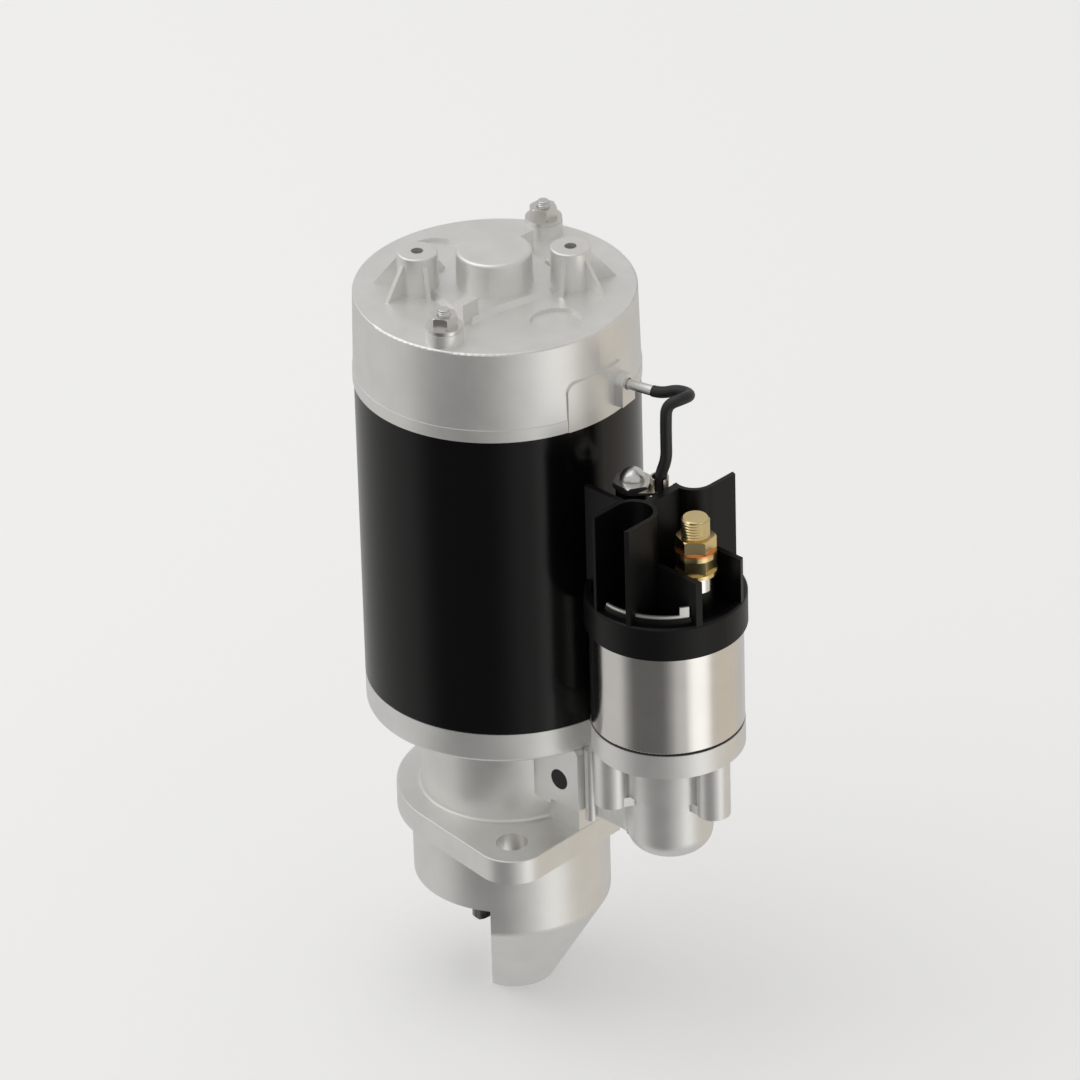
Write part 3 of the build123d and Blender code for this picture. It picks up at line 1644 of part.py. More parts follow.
strip_bottom = cap_top + strip_wall_top
strip_inner = strip_radius - strip_thickness
strip_sweep = strip_end_angle - strip_start_angle
strip_clear_turn = math.degrees(seat_gap / strip_inner)
strip_wall_sweep = strip_wall_end_angle - strip_wall_start_angle

with BuildPart() as solenoid_cap:
    with BuildSketch(solenoid_plane(can_top)):
        Circle(cap_radius)
    extrude(amount=cap_height)
    fillet(rims(solenoid_cap, cap_radius)[-1], cap_edge_round)
    with BuildSketch(solenoid_plane(cap_floor)):
        Circle(cap_radius - cap_wall)
    extrude(amount=cap_recess, mode=Mode.SUBTRACT)
    add(shields.part)
    add(partitions.part)
    # Pedestal of the motor stud, collar of the battery stud, wall under the coil's strip
    with BuildSketch(Plane(origin=(motor_x, 0, cap_floor))):
        Circle(pedestal_radius)
    extrude(amount=cap_recess + pedestal_top)
    with BuildSketch(Plane(origin=(battery_x, 0, cap_floor))):
        Circle(stud_collar_radius)
    extrude(amount=cap_recess + stud_collar_top)
    with BuildSketch(solenoid_plane(cap_floor)):
        wall_plan = ring_sector(
            strip_wall_inner, strip_wall_outer, strip_wall_start_angle, strip_wall_sweep
        )
        add(wall_plan)
    extrude(amount=strip_bottom - cap_floor)
    # Contact chamber and the studs' holes
    with BuildSketch(solenoid_plane(can_top)):
        Circle(chamber_radius)
    extrude(amount=chamber_top - can_top, mode=Mode.SUBTRACT)
    with BuildSketch(Plane(origin=(battery_x, 0, can_top))):
        Circle(battery_stud_radius + seat_gap)
    extrude(amount=cap_height + stud_collar_top, mode=Mode.SUBTRACT)
    with BuildSketch(Plane(origin=(motor_x, 0, can_top))):
        Circle(motor_stud_radius + seat_gap)
    extrude(amount=cap_height + pedestal_top, mode=Mode.SUBTRACT)
    # The coil's strip passes through the shield's arms
    with BuildSketch(solenoid_plane(strip_bottom)):
        clear_plan = ring_sector(
            strip_inner - seat_gap,
            strip_radius + seat_gap,
            strip_start_angle - strip_clear_turn,
            strip_sweep + 2 * strip_clear_turn,
        )
        add(clear_plan)
    extrude(amount=strip_height + seat_gap, mode=Mode.SUBTRACT)

finish(solenoid_cap.part, "solenoid_cap")

with BuildPart() as blade_terminal:
    with BuildSketch(solenoid_plane(strip_bottom)):
        add(ring_sector(strip_inner, strip_radius, strip_start_angle, strip_sweep))
    extrude(amount=strip_height)
    with BuildSketch(solenoid_plane(strip_bottom)):
        add(ring_sector(strip_inner, strip_radius, tab_start_angle, strip_end_angle - tab_start_angle))
    extrude(amount=tab_height)

finish(blade_terminal.part, "blade_terminal")

# ---------------------------------------------------------------------------------------
# Battery stud and motor stud
# ---------------------------------------------------------------------------------------

spacer_end = cap_top + spacer_top
lower_hex_bottom = spacer_end + lower_nut_flange
lower_nut_top = lower_hex_bottom + lower_nut_height
washer_top = lower_nut_top + terminal_washer
copper_top = washer_top + copper_washer
upper_nut_top = copper_top + upper_nut_height
battery_top = cap_top + battery_stud_top
battery_washer_bore = battery_stud_radius + seat_gap
battery_nut_bore = battery_stud_root + seat_gap
pedestal_z = cap_top + pedestal_top
lug_top = pedestal_z + lug_thickness

with BuildPart() as battery_stud:
    with BuildSketch(Plane(origin=(battery_x, 0, head_bottom))):
        Circle(terminal_head_radius)
    extrude(amount=terminal_head)
    with BuildSketch(Plane(origin=(battery_x, 0, head_bottom))):
        Circle(battery_stud_root)
    extrude(amount=battery_top - head_bottom)
    with BuildSketch(Plane(origin=(battery_x, 0, upper_nut_top + side_gap))):
        Circle(battery_stud_radius)
    extrude(amount=battery_top - upper_nut_top - side_gap)
    chamfer(battery_stud.edges().group_by(Axis.Z)[-1], battery_stud_chamfer)

finish(battery_stud.part, "battery_stud")


def make_stud_ring(x, bore, outer, bottom, top, name):
    """Ring on one of the solenoid's studs between two heights."""
    with BuildPart() as ring:
        with BuildSketch(Plane(origin=(x, 0, bottom))):
            Circle(outer)
            Circle(bore, mode=Mode.SUBTRACT)
        extrude(amount=top - bottom)
    finish(ring.part, name)


# Spacer and washers of the battery stud: name, outer radius, bottom, top
battery_rings = (
    ("terminal_spacer", spacer_radius, cap_top + stud_collar_top, spacer_end),
    ("steel_washer", terminal_washer_radius, lower_nut_top, washer_top),
    ("copper_washer", terminal_washer_radius, washer_top, copper_top),
)
for name, outer, bottom, top in battery_rings:
    make_stud_ring(battery_x, battery_washer_bore, outer, bottom, top, name)

with BuildPart() as lower_nut:
    with BuildSketch(Plane(origin=(battery_x, 0, spacer_end))):
        Circle(lower_nut_flange_radius)
    extrude(amount=lower_nut_flange)
    lower_hex = Plane(origin=(battery_x, 0, lower_hex_bottom)).rotated((0, 0, terminal_nut_angle))
    add(nut_blank(lower_hex, terminal_nut_flats, lower_nut_height))
    with BuildSketch(Plane(origin=(battery_x, 0, spacer_end))):
        Circle(battery_nut_bore)
    extrude(amount=lower_nut_top - spacer_end, mode=Mode.SUBTRACT)

finish(lower_nut.part, "lower_nut")

with BuildPart() as upper_nut:
    upper_hex = Plane(origin=(battery_x, 0, copper_top)).rotated((0, 0, terminal_nut_angle))
    add(nut_blank(upper_hex, terminal_nut_flats, upper_nut_height))
    with BuildSketch(Plane(origin=(battery_x, 0, copper_top))):
        Circle(battery_nut_bore)
    extrude(amount=upper_nut_height, mode=Mode.SUBTRACT)

finish(upper_nut.part, "upper_nut")

dome_start = lug_top + dome_nut_base
motor_stud_top = dome_start + motor_stud_reach

with BuildPart() as motor_stud:
    with BuildSketch(Plane(origin=(motor_x, 0, head_bottom))):
        Circle(terminal_head_radius)
    extrude(amount=terminal_head)
    with BuildSketch(Plane(origin=(motor_x, 0, head_bottom))):
        Circle(motor_stud_radius)
    extrude(amount=motor_stud_top - head_bottom)

finish(motor_stud.part, "motor_stud")

with BuildPart() as dome_nut:
    dome_nut_plane = Plane(origin=(motor_x, 0, lug_top)).rotated((0, 0, dome_nut_angle))
    add(nut_blank(dome_nut_plane, dome_nut_flats, dome_nut_base))
    with BuildSketch(Plane(origin=(motor_x, 0, dome_start))):
        Circle(dome_nut_radius)
    extrude(amount=dome_nut_height - dome_nut_base)
    fillet(dome_nut.edges().group_by(Axis.Z)[-1], dome_nut_round)
    with BuildSketch(Plane(origin=(motor_x, 0, lug_top))):
        Circle(motor_stud_radius + seat_gap)
    extrude(amount=motor_stud_top + seat_gap - lug_top, mode=Mode.SUBTRACT)

finish(dome_nut.part, "dome_nut")

# ---------------------------------------------------------------------------------------
# Motor lead and its lug
# ---------------------------------------------------------------------------------------

lug_x = motor_x + lug_reach * math.cos(math.radians(lug_angle))
lug_y = lug_reach * math.sin(math.radians(lug_angle))
lug_barrel_bore = lug_barrel_radius - lug_barrel_wall

with BuildPart() as lead_lug:
    with BuildSketch(Plane(origin=(0, 0, pedestal_z))):
        with Locations((motor_x, 0)):
            Circle(lug_radius)
        with Locations((lug_x, lug_y)):
            Circle(lug_barrel_radius)
        make_hull()
        with Locations((motor_x, 0)):
            Circle(motor_stud_radius + seat_gap, mode=Mode.SUBTRACT)
    extrude(amount=lug_thickness)
    with BuildSketch(Plane(origin=(lug_x, lug_y, lug_top))):
        Circle(lug_barrel_radius)
    extrude(amount=lug_barrel_height)
    with BuildSketch(Plane(origin=(lug_x, lug_y, lug_top))):
        Circle(lug_barrel_bore)
        with PolarLocations(lug_barrel_radius, 1, start_angle=lug_opening_angle):
            Rectangle(2 * lug_barrel_radius, lug_opening_width)
    extrude(amount=lug_barrel_height, mode=Mode.SUBTRACT)

finish(lead_lug.part, "lead_lug")

rod_tip_radius = terminal_block_reach + rod_length
rod_tip = (*polar(rod_tip_radius, terminal_angle), terminal_z)
lead_start = (*polar(rod_tip_radius + lead_straight, terminal_angle), terminal_z)
lead_foot = (lug_x, lug_y, lug_top)


def steps_from(origin, offsets):
    """Points at given offsets from an origin."""
    return [tuple(map(sum, zip(origin, offset))) for offset in offsets]


lead_points = [
    rod_tip,
    lead_start,
    *steps_from(rod_tip, lead_from_rod),
    *steps_from(lead_foot, lead_from_lug),
]


def lead_bends(points):
    """Largest arc at each corner of the route: 0.45 of its shorter run over the half turn."""
    radii = []
    for before, corner, after in zip(points, points[1:], points[2:]):
        run_in = Vector(*corner) - Vector(*before)
        run_out = Vector(*after) - Vector(*corner)
        half_turn = math.radians(run_in.get_angle(run_out) / 2)
        radii.append(0.45 * min(run_in.length, run_out.length) / math.tan(half_turn))
    return radii


bends = lead_bends(lead_points)
print("motor lead bend radii:", [round(bend, 1) for bend in bends])

with BuildPart() as motor_lead:
    with BuildLine() as lead_path:
        FilletPolyline(*lead_points, radius=bends)
    with BuildSketch(Plane(origin=lead_path.line @ 0, z_dir=lead_path.line % 0)):
        Circle(lead_radius)
    sweep(path=lead_path.line)

print("motor lead length:", round(lead_path.wires()[0].length, 1))
finish(motor_lead.part, "motor_lead")
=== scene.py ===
import math

import bpy
import numpy as np
from mathutils import Matrix, Vector


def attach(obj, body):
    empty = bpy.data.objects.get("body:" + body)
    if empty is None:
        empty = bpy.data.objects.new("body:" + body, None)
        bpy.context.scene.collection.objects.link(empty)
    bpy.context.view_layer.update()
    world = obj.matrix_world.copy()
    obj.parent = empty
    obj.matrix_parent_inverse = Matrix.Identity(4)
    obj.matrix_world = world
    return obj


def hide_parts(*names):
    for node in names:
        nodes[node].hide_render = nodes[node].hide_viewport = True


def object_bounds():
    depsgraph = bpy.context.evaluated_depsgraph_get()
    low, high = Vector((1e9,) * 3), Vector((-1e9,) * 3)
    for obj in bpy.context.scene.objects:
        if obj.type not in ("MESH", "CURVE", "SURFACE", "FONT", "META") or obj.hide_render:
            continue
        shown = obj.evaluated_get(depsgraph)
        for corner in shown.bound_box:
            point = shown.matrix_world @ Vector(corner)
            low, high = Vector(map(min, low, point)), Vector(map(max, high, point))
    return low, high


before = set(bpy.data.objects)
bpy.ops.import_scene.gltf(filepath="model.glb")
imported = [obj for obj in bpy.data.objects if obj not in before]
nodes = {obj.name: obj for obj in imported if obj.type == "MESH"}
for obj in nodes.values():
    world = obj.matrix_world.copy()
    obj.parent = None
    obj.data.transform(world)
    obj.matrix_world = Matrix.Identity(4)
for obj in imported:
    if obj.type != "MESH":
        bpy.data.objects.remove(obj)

# A starter motor with its solenoid alongside. Lengths are in metres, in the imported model's own
# frame: +Z runs up the motor's axis and +X points at the solenoid.

MM = 0.001
cad_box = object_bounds()

# ---------------------------------------------------------------------------------------
# Camera
# ---------------------------------------------------------------------------------------

CAMERA_TARGET = Vector((0.01087, 0.01070, 0.12337))
CAMERA_DISTANCE = 3.4303
CAMERA_AZIMUTH = math.radians(44.5425)
CAMERA_ELEVATION = math.radians(30.2567)
CAMERA_ROLL = math.radians(-1.6021)
CAMERA_LENS = 280.246
CAMERA_SENSOR = 36.0


def make_camera():
    """Stands the camera off from its target, along an azimuth and an elevation, and rolls it."""
    level = math.cos(CAMERA_ELEVATION)
    back = Vector((
        math.sin(CAMERA_AZIMUTH) * level,
        -math.cos(CAMERA_AZIMUTH) * level,
        math.sin(CAMERA_ELEVATION),
    ))
    flat_right = Vector((math.cos(CAMERA_AZIMUTH), math.sin(CAMERA_AZIMUTH), 0))
    right = Matrix.Rotation(CAMERA_ROLL, 3, back) @ flat_right
    up = back.cross(right)
    data = bpy.data.cameras.new("camera")
    data.lens = CAMERA_LENS
    data.sensor_width = CAMERA_SENSOR
    camera = bpy.data.objects.new("camera", data)
    turn = Matrix((right, up, back)).transposed().to_4x4()
    camera.matrix_world = Matrix.Translation(CAMERA_TARGET + back * CAMERA_DISTANCE) @ turn
    bpy.context.scene.collection.objects.link(camera)
    bpy.context.scene.camera = camera


# ---------------------------------------------------------------------------------------
# Motor lead
# ---------------------------------------------------------------------------------------

LEAD_DIAMETER = 4.8 * MM
LEAD_ORDER = 3
LEAD_STEPS_PER_POINT = 12
LEAD_ROUNDNESS = 6
LEAD_ROUTE = [
    (72.93, 14.18, 214.6),
    (76.67, 14.90, 214.6),
    (81.43, 19.98, 215.8),
    (88.73, 19.68, 216.4),
    (91.13, 12.98, 218.4),
    (86.52, 7.41, 216.1),
    (86.62, 6.81, 208.0),
    (86.42, 7.01, 199.5),
    (86.62, 6.81, 191.5),
    (84.72, 5.11, 184.5),
    (84.12, 4.51, 178.6),
]


def make_lead():
    """A sleeved wire on one smooth spline, from the terminal rod's tip down into its lug."""
    data = bpy.data.curves.new("motor_lead_sleeve", "CURVE")
    data.dimensions = "3D"
    spline = data.splines.new("NURBS")
    spline.points.add(len(LEAD_ROUTE) - 1)
    for point, place in zip(spline.points, LEAD_ROUTE):
        point.co = (*(MM * part for part in place), 1)
    spline.order_u = LEAD_ORDER
    spline.use_endpoint_u = True
    spline.resolution_u = LEAD_STEPS_PER_POINT
    data.bevel_depth = LEAD_DIAMETER / 2
    data.bevel_resolution = LEAD_ROUNDNESS
    data.use_fill_caps = True
    lead = bpy.data.objects.new("motor_lead_sleeve", data)
    bpy.context.scene.collection.objects.link(lead)
    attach(lead, "frame")
    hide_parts("motor_lead")
    return lead


make_camera()
lead = make_lead()

# ---------------------------------------------------------------------------------------
# Screw threads
# ---------------------------------------------------------------------------------------

THREAD_COLUMNS = 96
THREAD_ROWS_PER_TURN = 12
# Each section's bottom, bottom radius, top, top radius, and whether it is threaded
BATTERY_STUD = [
    (128.4, 8.0, 131.4, 8.0, False),
    (131.4, 5.6, 168.3, 5.6, False),
    (168.3, 5.84, 175.6, 5.84, True),
    (175.6, 5.5, 176.4, 4.9, False),
]
BATTERY_STUD_PLACE = (108.25, 0)
BATTERY_STUD_PITCH = 1.25
BATTERY_STUD_DEPTH = 0.55
THROUGH_STUDS = [
    (56.3, 2.7, 248.0, 2.7, False),
    (248.0, 2.69, 255.9, 2.69, True),
    (255.9, 2.5, 256.5, 2.1, False),
]
THROUGH_STUD_REACH = 49.0
THROUGH_STUD_ANGLE = math.radians(-70)
THROUGH_STUD_PITCH = 0.9
THROUGH_STUD_DEPTH = 0.4


def threaded_rod(name, replaced, places, sections, pitch, depth):
    """Round rods, of which some lengths are threaded.

    A point stands at an angle about its rod and at a height. Its distance from the axis is the
    radius of its section, less the thread's depth times a triangle wave. The wave's phase is the
    height over the pitch less the angle over a full turn, so the groove climbs as a helix.
    Places, sections, pitch and depth are in millimetres.
    """
    rows = []
    for bottom, bottom_radius, top, top_radius, threaded in sections:
        count = max(2, int((top - bottom) / pitch * THREAD_ROWS_PER_TURN)) if threaded else 2
        for share in np.linspace(0, 1, count):
            height = bottom + (top - bottom) * share
            rows.append((height, bottom_radius + (top_radius - bottom_radius) * share, threaded))
    heights, radii, cut = (np.array(column, dtype=float) for column in zip(*rows))
    angles = np.linspace(0, 2 * np.pi, THREAD_COLUMNS, endpoint=False)
    phase = (heights[:, None] / pitch - angles[None, :] / (2 * np.pi)) % 1
    groove = 1 - np.abs(2 * phase - 1)
    reach = radii[:, None] - cut[:, None] * depth * groove
    vertices, faces = [], []
    for x, y in places:
        start = len(vertices) * len(heights) * THREAD_COLUMNS
        ring = np.stack([
            x + reach * np.cos(angles),
            y + reach * np.sin(angles),
            np.broadcast_to(heights[:, None], reach.shape),
        ], axis=-1)
        vertices.append(ring.reshape(-1, 3) * MM)
        column = np.arange(THREAD_COLUMNS)
        following = (column + 1) % THREAD_COLUMNS
        for row in range(len(heights) - 1):
            low = start + row * THREAD_COLUMNS
            high = low + THREAD_COLUMNS
            faces += np.stack(
                [low + column, low + following, high + following, high + column], axis=-1
            ).tolist()
        faces.append((start + column[::-1]).tolist())
        faces.append((start + (len(heights) - 1) * THREAD_COLUMNS + column).tolist())
    mesh = bpy.data.meshes.new(name)
    mesh.from_pydata(np.concatenate(vertices).tolist(), [], faces)
    mesh.polygons.foreach_set("use_smooth", [len(face) == 4 for face in faces])
    mesh.update()
    piece = bpy.data.objects.new(name, mesh)
    bpy.context.scene.collection.objects.link(piece)
    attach(piece, "frame")
    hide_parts(replaced)
    return piece


stud_x = THROUGH_STUD_REACH * math.cos(THROUGH_STUD_ANGLE)
stud_y = THROUGH_STUD_REACH * math.sin(THROUGH_STUD_ANGLE)
battery_thread = threaded_rod(
    "battery_stud_thread",
    "battery_stud",
    [BATTERY_STUD_PLACE],
    BATTERY_STUD,
    BATTERY_STUD_PITCH,
    BATTERY_STUD_DEPTH,
)
through_thread = threaded_rod(
    "through_stud_threads",
    "through_studs",
    [(stud_x, stud_y), (-stud_x, -stud_y)],
    THROUGH_STUDS,
    THROUGH_STUD_PITCH,
    THROUGH_STUD_DEPTH,
)

# ---------------------------------------------------------------------------------------
# Shader sums
# ---------------------------------------------------------------------------------------


class Value:
    """A socket that sums are written with: each operator adds a Math node."""

    def __init__(self, graph, socket):
        self.graph = graph
        self.socket = socket

    def math(self, operation, *values):
        """A new value: the Math node's operation on these values, in order."""
        return self.graph.add("Math", {"operation": operation}, dict(enumerate(values)))

    def __add__(self, other):
        return self.math("ADD", self, other)

    def __sub__(self, other):
        return self.math("SUBTRACT", self, other)

    def __rsub__(self, other):
        return self.math("SUBTRACT", other, self)

    def __mul__(self, other):
        return self.math("MULTIPLY", self, other)

    __radd__ = __add__
    __rmul__ = __mul__

    def clamped(self):
        """The value, held between 0 and 1."""
        return self.graph.add("Clamp", {}, {"Value": self})


class Graph:
    """A tree of nodes. add() takes a node's kind, its settings and then its sockets."""

    def __init__(self, tree):
        tree.nodes.clear()
        self.tree = tree

    def add(self, kind, settings=None, sockets=None, output=0):
        node = self.tree.nodes.new("ShaderNode" + kind)
        for name, value in (settings or {}).items():
            setattr(node, name, value)
        for name, value in (sockets or {}).items():
            if isinstance(value, Value):
                self.tree.links.new(value.socket, node.inputs[name])
            else:
                node.inputs[name].default_value = value
        return Value(self, node.outputs[output]) if node.outputs else None

    def place(self, stretch=(1, 1, 1)):
        """Object coordinates, stretched along each axis."""
        where = self.add("TexCoord", output="Object")
        return self.add("Mapping", {}, {"Vector": where, "Scale": stretch})

    def noise(self, scale, stretch=(1, 1, 1), detail=2.0):
        """Noise about 0, from about -0.5 to 0.5, with so many waves to a metre."""
        sockets = {"Vector": self.place(stretch), "Scale": scale, "Detail": detail}
        return self.add("TexNoise", {}, sockets) - 0.5

    def mix(self, factor, first, second):
        """One colour to the other as the factor goes from 0 to 1."""
        settings = {"data_type": "RGBA"}
        return self.add("Mix", settings, {0: factor, 6: first, 7: second}, output=2)

    def bump(self, height, distance):
        """A normal tilted as if the height, at 1, stood out by the distance."""
        return self.add("Bump", {}, {"Height": height, "Distance": distance})


def grey(level):
    return (level, level, level, 1.0)


def shaded(colour, factor):
    """The colour made lighter or darker by a factor."""
    return tuple(min(1.0, part * factor) for part in colour) + (1.0,)


# ---------------------------------------------------------------------------------------
# Finishes
# ---------------------------------------------------------------------------------------

# Waves to a metre
METAL_PATCHES = 70.0
METAL_STREAKS = 900.0
MOULDED_PATCHES = 90.0
ENAMEL_PATCHES = 60.0
ENAMEL_PEEL = 420.0
ENAMEL_STREAKS = 700.0

PATCH_DETAIL = 3.0
METAL_MOTTLE = 0.06
METAL_STREAK_STRETCH = (1, 1, 0.012)
ENAMEL_STREAK_STRETCH = (1, 1, 0.02)
MIDDLE_TONE = 0.5


def make_finish(name, build):
    """A material whose nodes are added by build, which gives the surface's sockets."""
    material = bpy.data.materials.new(name)
    material.use_nodes = True
    graph = Graph(material.node_tree)
    surface = graph.add("BsdfPrincipled", {}, build(graph))
    graph.add("OutputMaterial", {}, {"Surface": surface})
    return material


def metal(
    colour, roughness, grain=1500.0, grain_height=0.004 * MM, streaks=0.0, metallic=1.0
):
    """Bare or plated metal: fine grain, cloudy patches and, if drawn or turned, streaks up Z."""

    def build(graph):
        patches = graph.noise(METAL_PATCHES, detail=PATCH_DETAIL)
        fine = graph.noise(grain)
        drawn = graph.noise(METAL_STREAKS, stretch=METAL_STREAK_STRETCH)
        tone = (MIDDLE_TONE + patches * 1.4 + drawn * streaks).clamped()
        rough = roughness + patches * 0.08 + fine * 0.05 + drawn * (0.12 * streaks)
        dark, light = shaded(colour, 1 - METAL_MOTTLE), shaded(colour, 1 + METAL_MOTTLE)
        return {
            "Base Color": graph.mix(tone, dark, light),
            "Metallic": metallic,
            "Roughness": rough,
            "Normal": graph.bump(fine + drawn * streaks, grain_height),
        }

    return build


def moulded(colour, roughness, grain=900.0, grain_height=0.01 * MM, specular=0.5):
    """Plastic or rubber: even colour, slightly cloudy gloss and a faint moulded grain."""

    def build(graph):
        patches = graph.noise(MOULDED_PATCHES, detail=PATCH_DETAIL)
        fine = graph.noise(grain)
        tone = (MIDDLE_TONE + patches * 1.5).clamped()
        return {
            "Base Color": graph.mix(tone, shaded(colour, 0.8), shaded(colour, 1.25)),
            "Roughness": roughness + patches * 0.12 + fine * 0.06,
            "Specular IOR Level": specular,
            "Normal": graph.bump(fine, grain_height),
        }

    return build


def enamel(colour, roughness, peel_height, specular):
    """Glossy enamel: a smooth coat with a trace of orange peel over it."""

    def build(graph):
        patches = graph.noise(ENAMEL_PATCHES, detail=PATCH_DETAIL)
        peel = graph.noise(ENAMEL_PEEL)
        drawn = graph.noise(ENAMEL_STREAKS, stretch=ENAMEL_STREAK_STRETCH)
        tone = (MIDDLE_TONE + patches).clamped()
        return {
            "Base Color": graph.mix(tone, shaded(colour, 0.85), shaded(colour, 1.2)),
            "Roughness": roughness + patches * 0.05 + drawn * 0.05,
            "Specular IOR Level": specular,
            "Normal": graph.bump(peel, peel_height),
        }

    return build


FINISHES = {
    "cast_aluminium": metal((0.84, 0.835, 0.815), 0.38, streaks=0.3, metallic=0.78),
    "gloss_enamel": enamel((0.0025, 0.0025, 0.0026), 0.2, peel_height=0.004 * MM, specular=0.27),
    "bright_steel": metal((0.77, 0.75, 0.72), 0.17, streaks=0.5),
    "black_moulding": moulded((0.0035, 0.0035, 0.0035), 0.38, specular=0.24),
    "black_rubber": moulded((0.015, 0.015, 0.015), 0.65),
    "lead_sleeve": moulded((0.010, 0.010, 0.011), 0.45, grain=500.0, grain_height=0.03 * MM),
    "zinc_plate": metal((0.76, 0.75, 0.73), 0.3, grain_height=0.0005 * MM),
    "bright_zinc": metal((0.86, 0.86, 0.84), 0.2, grain_height=0.001 * MM),
    "yellow_plate": metal((0.80, 0.64, 0.33), 0.24, grain_height=0.0005 * MM),
    "bright_copper": metal((0.86, 0.36, 0.14), 0.28, grain_height=0.0005 * MM),
    "tinned_strip": metal((0.86, 0.85, 0.82), 0.45),
    "tinned_lug": metal((0.66, 0.60, 0.52), 0.36),
    "pinion_steel": metal((0.30, 0.295, 0.29), 0.34),
    "ground_steel": metal((0.60, 0.60, 0.60), 0.22, streaks=0.3),
    "pressed_steel": metal((0.55, 0.55, 0.54), 0.38),
    "spring_steel": metal((0.36, 0.36, 0.37), 0.35),
    "laminations": metal((0.25, 0.23, 0.21), 0.45),
    "winding_copper": metal((0.66, 0.27, 0.10), 0.38),
    "bar_copper": metal((0.80, 0.40, 0.22), 0.30),
    "sintered_bronze": metal((0.55, 0.36, 0.18), 0.5, grain=2500.0, grain_height=0.02 * MM),
    "drawn_brass": metal((0.74, 0.56, 0.28), 0.3),
    "ferrite": moulded((0.045, 0.045, 0.048), 0.6),
    "carbon": moulded((0.03, 0.028, 0.026), 0.55),
    "dark_resin": moulded((0.06, 0.025, 0.012), 0.4),
    "pale_nylon": moulded((0.52, 0.48, 0.38), 0.45),
    "black_nylon": moulded((0.02, 0.02, 0.02), 0.5),
}
finish = {name: make_finish(name, build) for name, build in FINISHES.items()}

NODE_FINISHES = {
    "cast_aluminium": ["drive_housing", "end_cover"],
    "gloss_enamel": ["yoke"],
    "bright_steel": ["solenoid_can"],
    "black_moulding": ["solenoid_cap"],
    "black_rubber": ["pivot_plugs", "solenoid_gasket", "terminal_grommet"],
    "lead_sleeve": ["motor_lead"],
    "zinc_plate": ["dome_nut", "motor_stud", "plate_screws", "solenoid_screws", "terminal_rod",
                   "through_nuts", "through_studs"],
    "bright_zinc": ["terminal_spacer"],
    "yellow_plate": ["battery_stud", "lower_nut", "steel_washer", "upper_nut"],
    "bright_copper": ["copper_washer"],
    "tinned_strip": ["blade_terminal"],
    "tinned_lug": ["lead_lug"],
    "pinion_steel": ["clutch_shell", "pinion"],
    "ground_steel": ["armature_shaft", "clutch_rollers", "pivot_pin", "plunger", "stop_collar"],
    "pressed_steel": ["bearing_plate", "brush_plate", "clutch_cover", "contact_rod",
                      "solenoid_core", "spring_collar"],
    "spring_steel": ["brush_springs", "collar_ring", "contact_spring", "magnet_clips",
                     "mesh_spring", "return_spring"],
    "laminations": ["armature_core"],
    "winding_copper": ["armature_windings", "solenoid_coil"],
    "bar_copper": ["bus_strip", "commutator", "contact_disc"],
    "sintered_bronze": ["middle_bush", "nose_bush", "rear_bush"],
    "drawn_brass": ["brush_holders", "guide_tube"],
    "ferrite": ["magnets"],
    "carbon": ["brushes"],
    "dark_resin": ["commutator_hub"],
    "pale_nylon": ["shift_collar", "solenoid_bobbin"],
    "black_nylon": ["shift_lever"],
}


def dress(piece, name):
    """Gives every material slot of a piece the finish of that name."""
    slots = piece.data.materials
    if not slots:
        slots.append(finish[name])
    for index in range(len(slots)):
        slots[index] = finish[name]


for finish_name, members in NODE_FINISHES.items():
    for member in members:
        dress(nodes[member], finish_name)
dress(lead, "lead_sleeve")
dress(battery_thread, "yellow_plate")
dress(through_thread, "zinc_plate")

# ---------------------------------------------------------------------------------------
# Floor, light and world
# ---------------------------------------------------------------------------------------

FLOOR_SIZE = 12.0
FLOOR_COLOUR = grey(0.9)
FLOOR_GLOW = 0.17

# Each panel's azimuth, elevation, reach and softness, in degrees
DARK_PANEL = (-76, -28, 29, 13)
BRIGHT_PANEL = (2, -26, 13, 9)
WARM_PANEL = (52, -22, 20, 18)
STUDIO_LEVEL = 0.58
DARK_LOSS = 0.45
BRIGHT_GAIN = 0.72
WARM_GAIN = 0.08
STUDIO_COLOUR = (1.0, 0.99, 0.97, 1.0)
WARM_COLOUR = (1.0, 0.91, 0.78, 1.0)
BACKDROP_COLOUR = grey(1.0)

KEY_AZIMUTH = -150
KEY_ELEVATION = 62
KEY_DISTANCE = 2.6
KEY_SIZE = 2.8
KEY_POWER = 20


def make_floor():
    """A pale plane under the part. The camera sees a little glow on it, which lights nothing.

    A reflection passes through it to the studio beyond.
    """
    half = FLOOR_SIZE / 2
    low = cad_box[0].z
    corners = [(-half, -half, low), (half, -half, low), (half, half, low), (-half, half, low)]
    mesh = bpy.data.meshes.new("floor")
    mesh.from_pydata(corners, [], [(0, 1, 2, 3)])
    floor = bpy.data.objects.new("floor", mesh)
    bpy.context.scene.collection.objects.link(floor)
    material = bpy.data.materials.new("floor")
    material.use_nodes = True
    graph = Graph(material.node_tree)
    matt = graph.add("BsdfDiffuse", {}, {"Color": FLOOR_COLOUR})
    glow = graph.add("Emission", {}, {"Strength": FLOOR_GLOW})
    glowing = graph.add("AddShader", {}, {0: matt, 1: glow})
    seen = graph.add("LightPath", output="Is Camera Ray")
    pale = graph.add("MixShader", {}, {0: seen, 1: matt, 2: glowing})
    clear = graph.add("BsdfTransparent")
    glossy = graph.add("LightPath", output="Is Glossy Ray")
    surface = graph.add("MixShader", {}, {0: glossy, 1: pale, 2: clear})
    graph.add("OutputMaterial", {}, {"Surface": surface})
    mesh.materials.append(material)


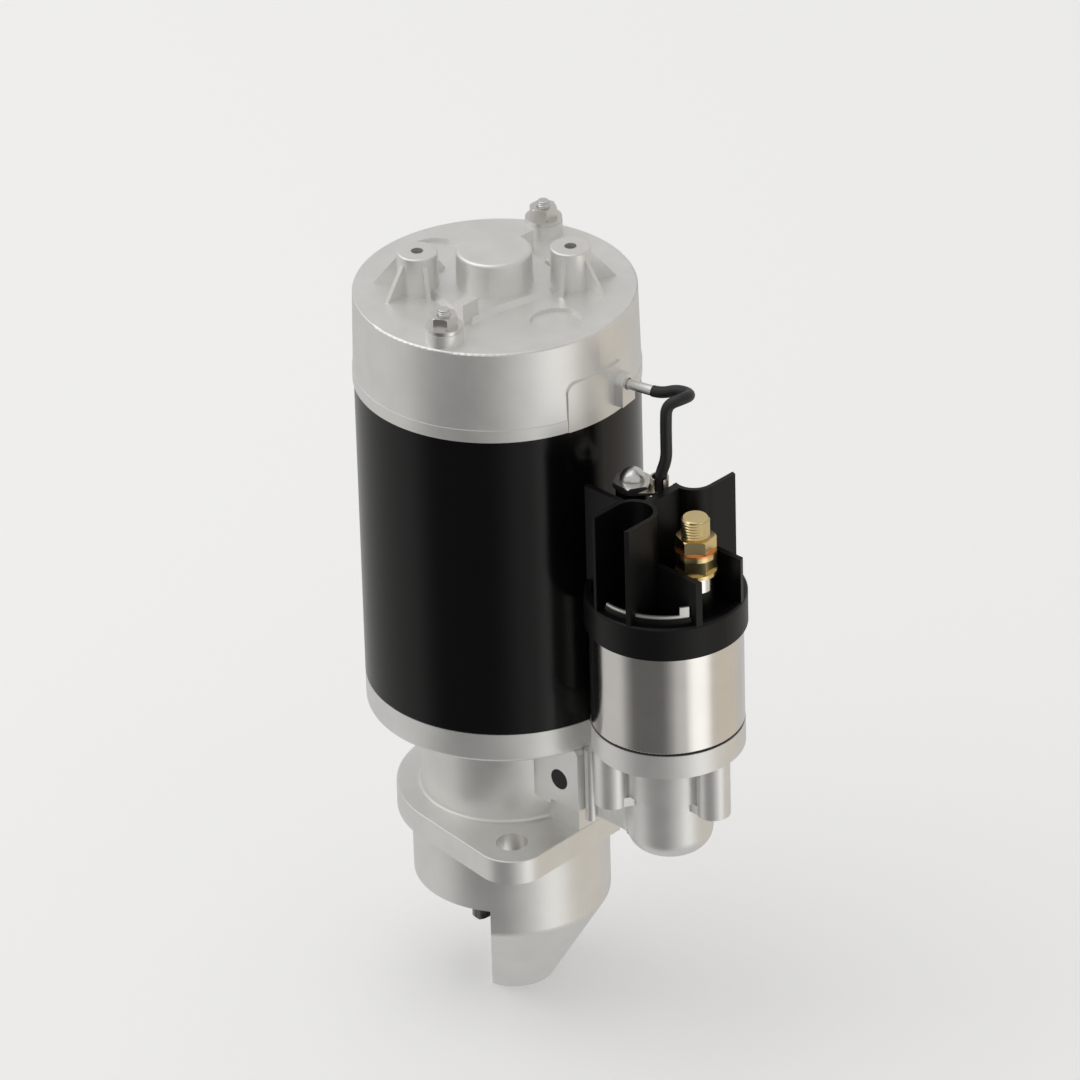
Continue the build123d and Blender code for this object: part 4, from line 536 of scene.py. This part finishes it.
def bearing(azimuth, elevation):
    """The unit vector that points that many degrees round from +X, and up from level."""
    turn, rise = math.radians(azimuth), math.radians(elevation)
    level = math.cos(rise)
    return Vector((math.cos(turn) * level, math.sin(turn) * level, math.sin(rise)))


def panel(graph, ray, azimuth, elevation, reach, softness):
    """1 within that many degrees of a bearing, and 0 beyond a soft edge."""
    sockets = {0: ray, 1: bearing(azimuth, elevation)}
    near = graph.add("VectorMath", {"operation": "DOT_PRODUCT"}, sockets, output="Value")
    edges = {
        "Value": near,
        "From Min": math.cos(math.radians(reach + softness)),
        "From Max": math.cos(math.radians(max(0, reach - softness))),
    }
    return graph.add("MapRange", {"interpolation_type": "SMOOTHSTEP"}, edges)


def make_world():
    """A plain pale studio: an even grey with a dark side, a bright panel and a warm one."""
    world = bpy.data.worlds.new("studio")
    bpy.context.scene.world = world
    world.use_nodes = True
    graph = Graph(world.node_tree)
    ray = graph.add("TexCoord", output="Generated")
    dark = panel(graph, ray, *DARK_PANEL)
    bright = panel(graph, ray, *BRIGHT_PANEL)
    warm = panel(graph, ray, *WARM_PANEL)
    strength = STUDIO_LEVEL - dark * DARK_LOSS + bright * BRIGHT_GAIN + warm * WARM_GAIN
    colour = graph.mix(warm, STUDIO_COLOUR, WARM_COLOUR)
    studio = graph.add("Background", {}, {"Color": colour, "Strength": strength})
    plain = graph.add("Background", {}, {"Color": BACKDROP_COLOUR, "Strength": 1.0})
    seen = graph.add("LightPath", output="Is Camera Ray")
    surface = graph.add("MixShader", {}, {0: seen, 1: studio, 2: plain})
    graph.add("OutputWorld", {}, {"Surface": surface})


def make_lamp(name, azimuth, elevation, distance, size, power):
    """A square soft light that faces the part."""
    data = bpy.data.lights.new(name, "AREA")
    data.size = size
    data.energy = power
    lamp = bpy.data.objects.new(name, data)
    towards = bearing(azimuth, elevation)
    lamp.location = CAMERA_TARGET + towards * distance
    lamp.rotation_mode = "QUATERNION"
    lamp.rotation_quaternion = towards.to_track_quat("Z", "Y")
    lamp.visible_camera = False
    bpy.context.scene.collection.objects.link(lamp)


make_floor()
make_world()
make_lamp("key", KEY_AZIMUTH, KEY_ELEVATION, KEY_DISTANCE, KEY_SIZE, KEY_POWER)
bpy.context.scene.view_settings.view_transform = "Standard"
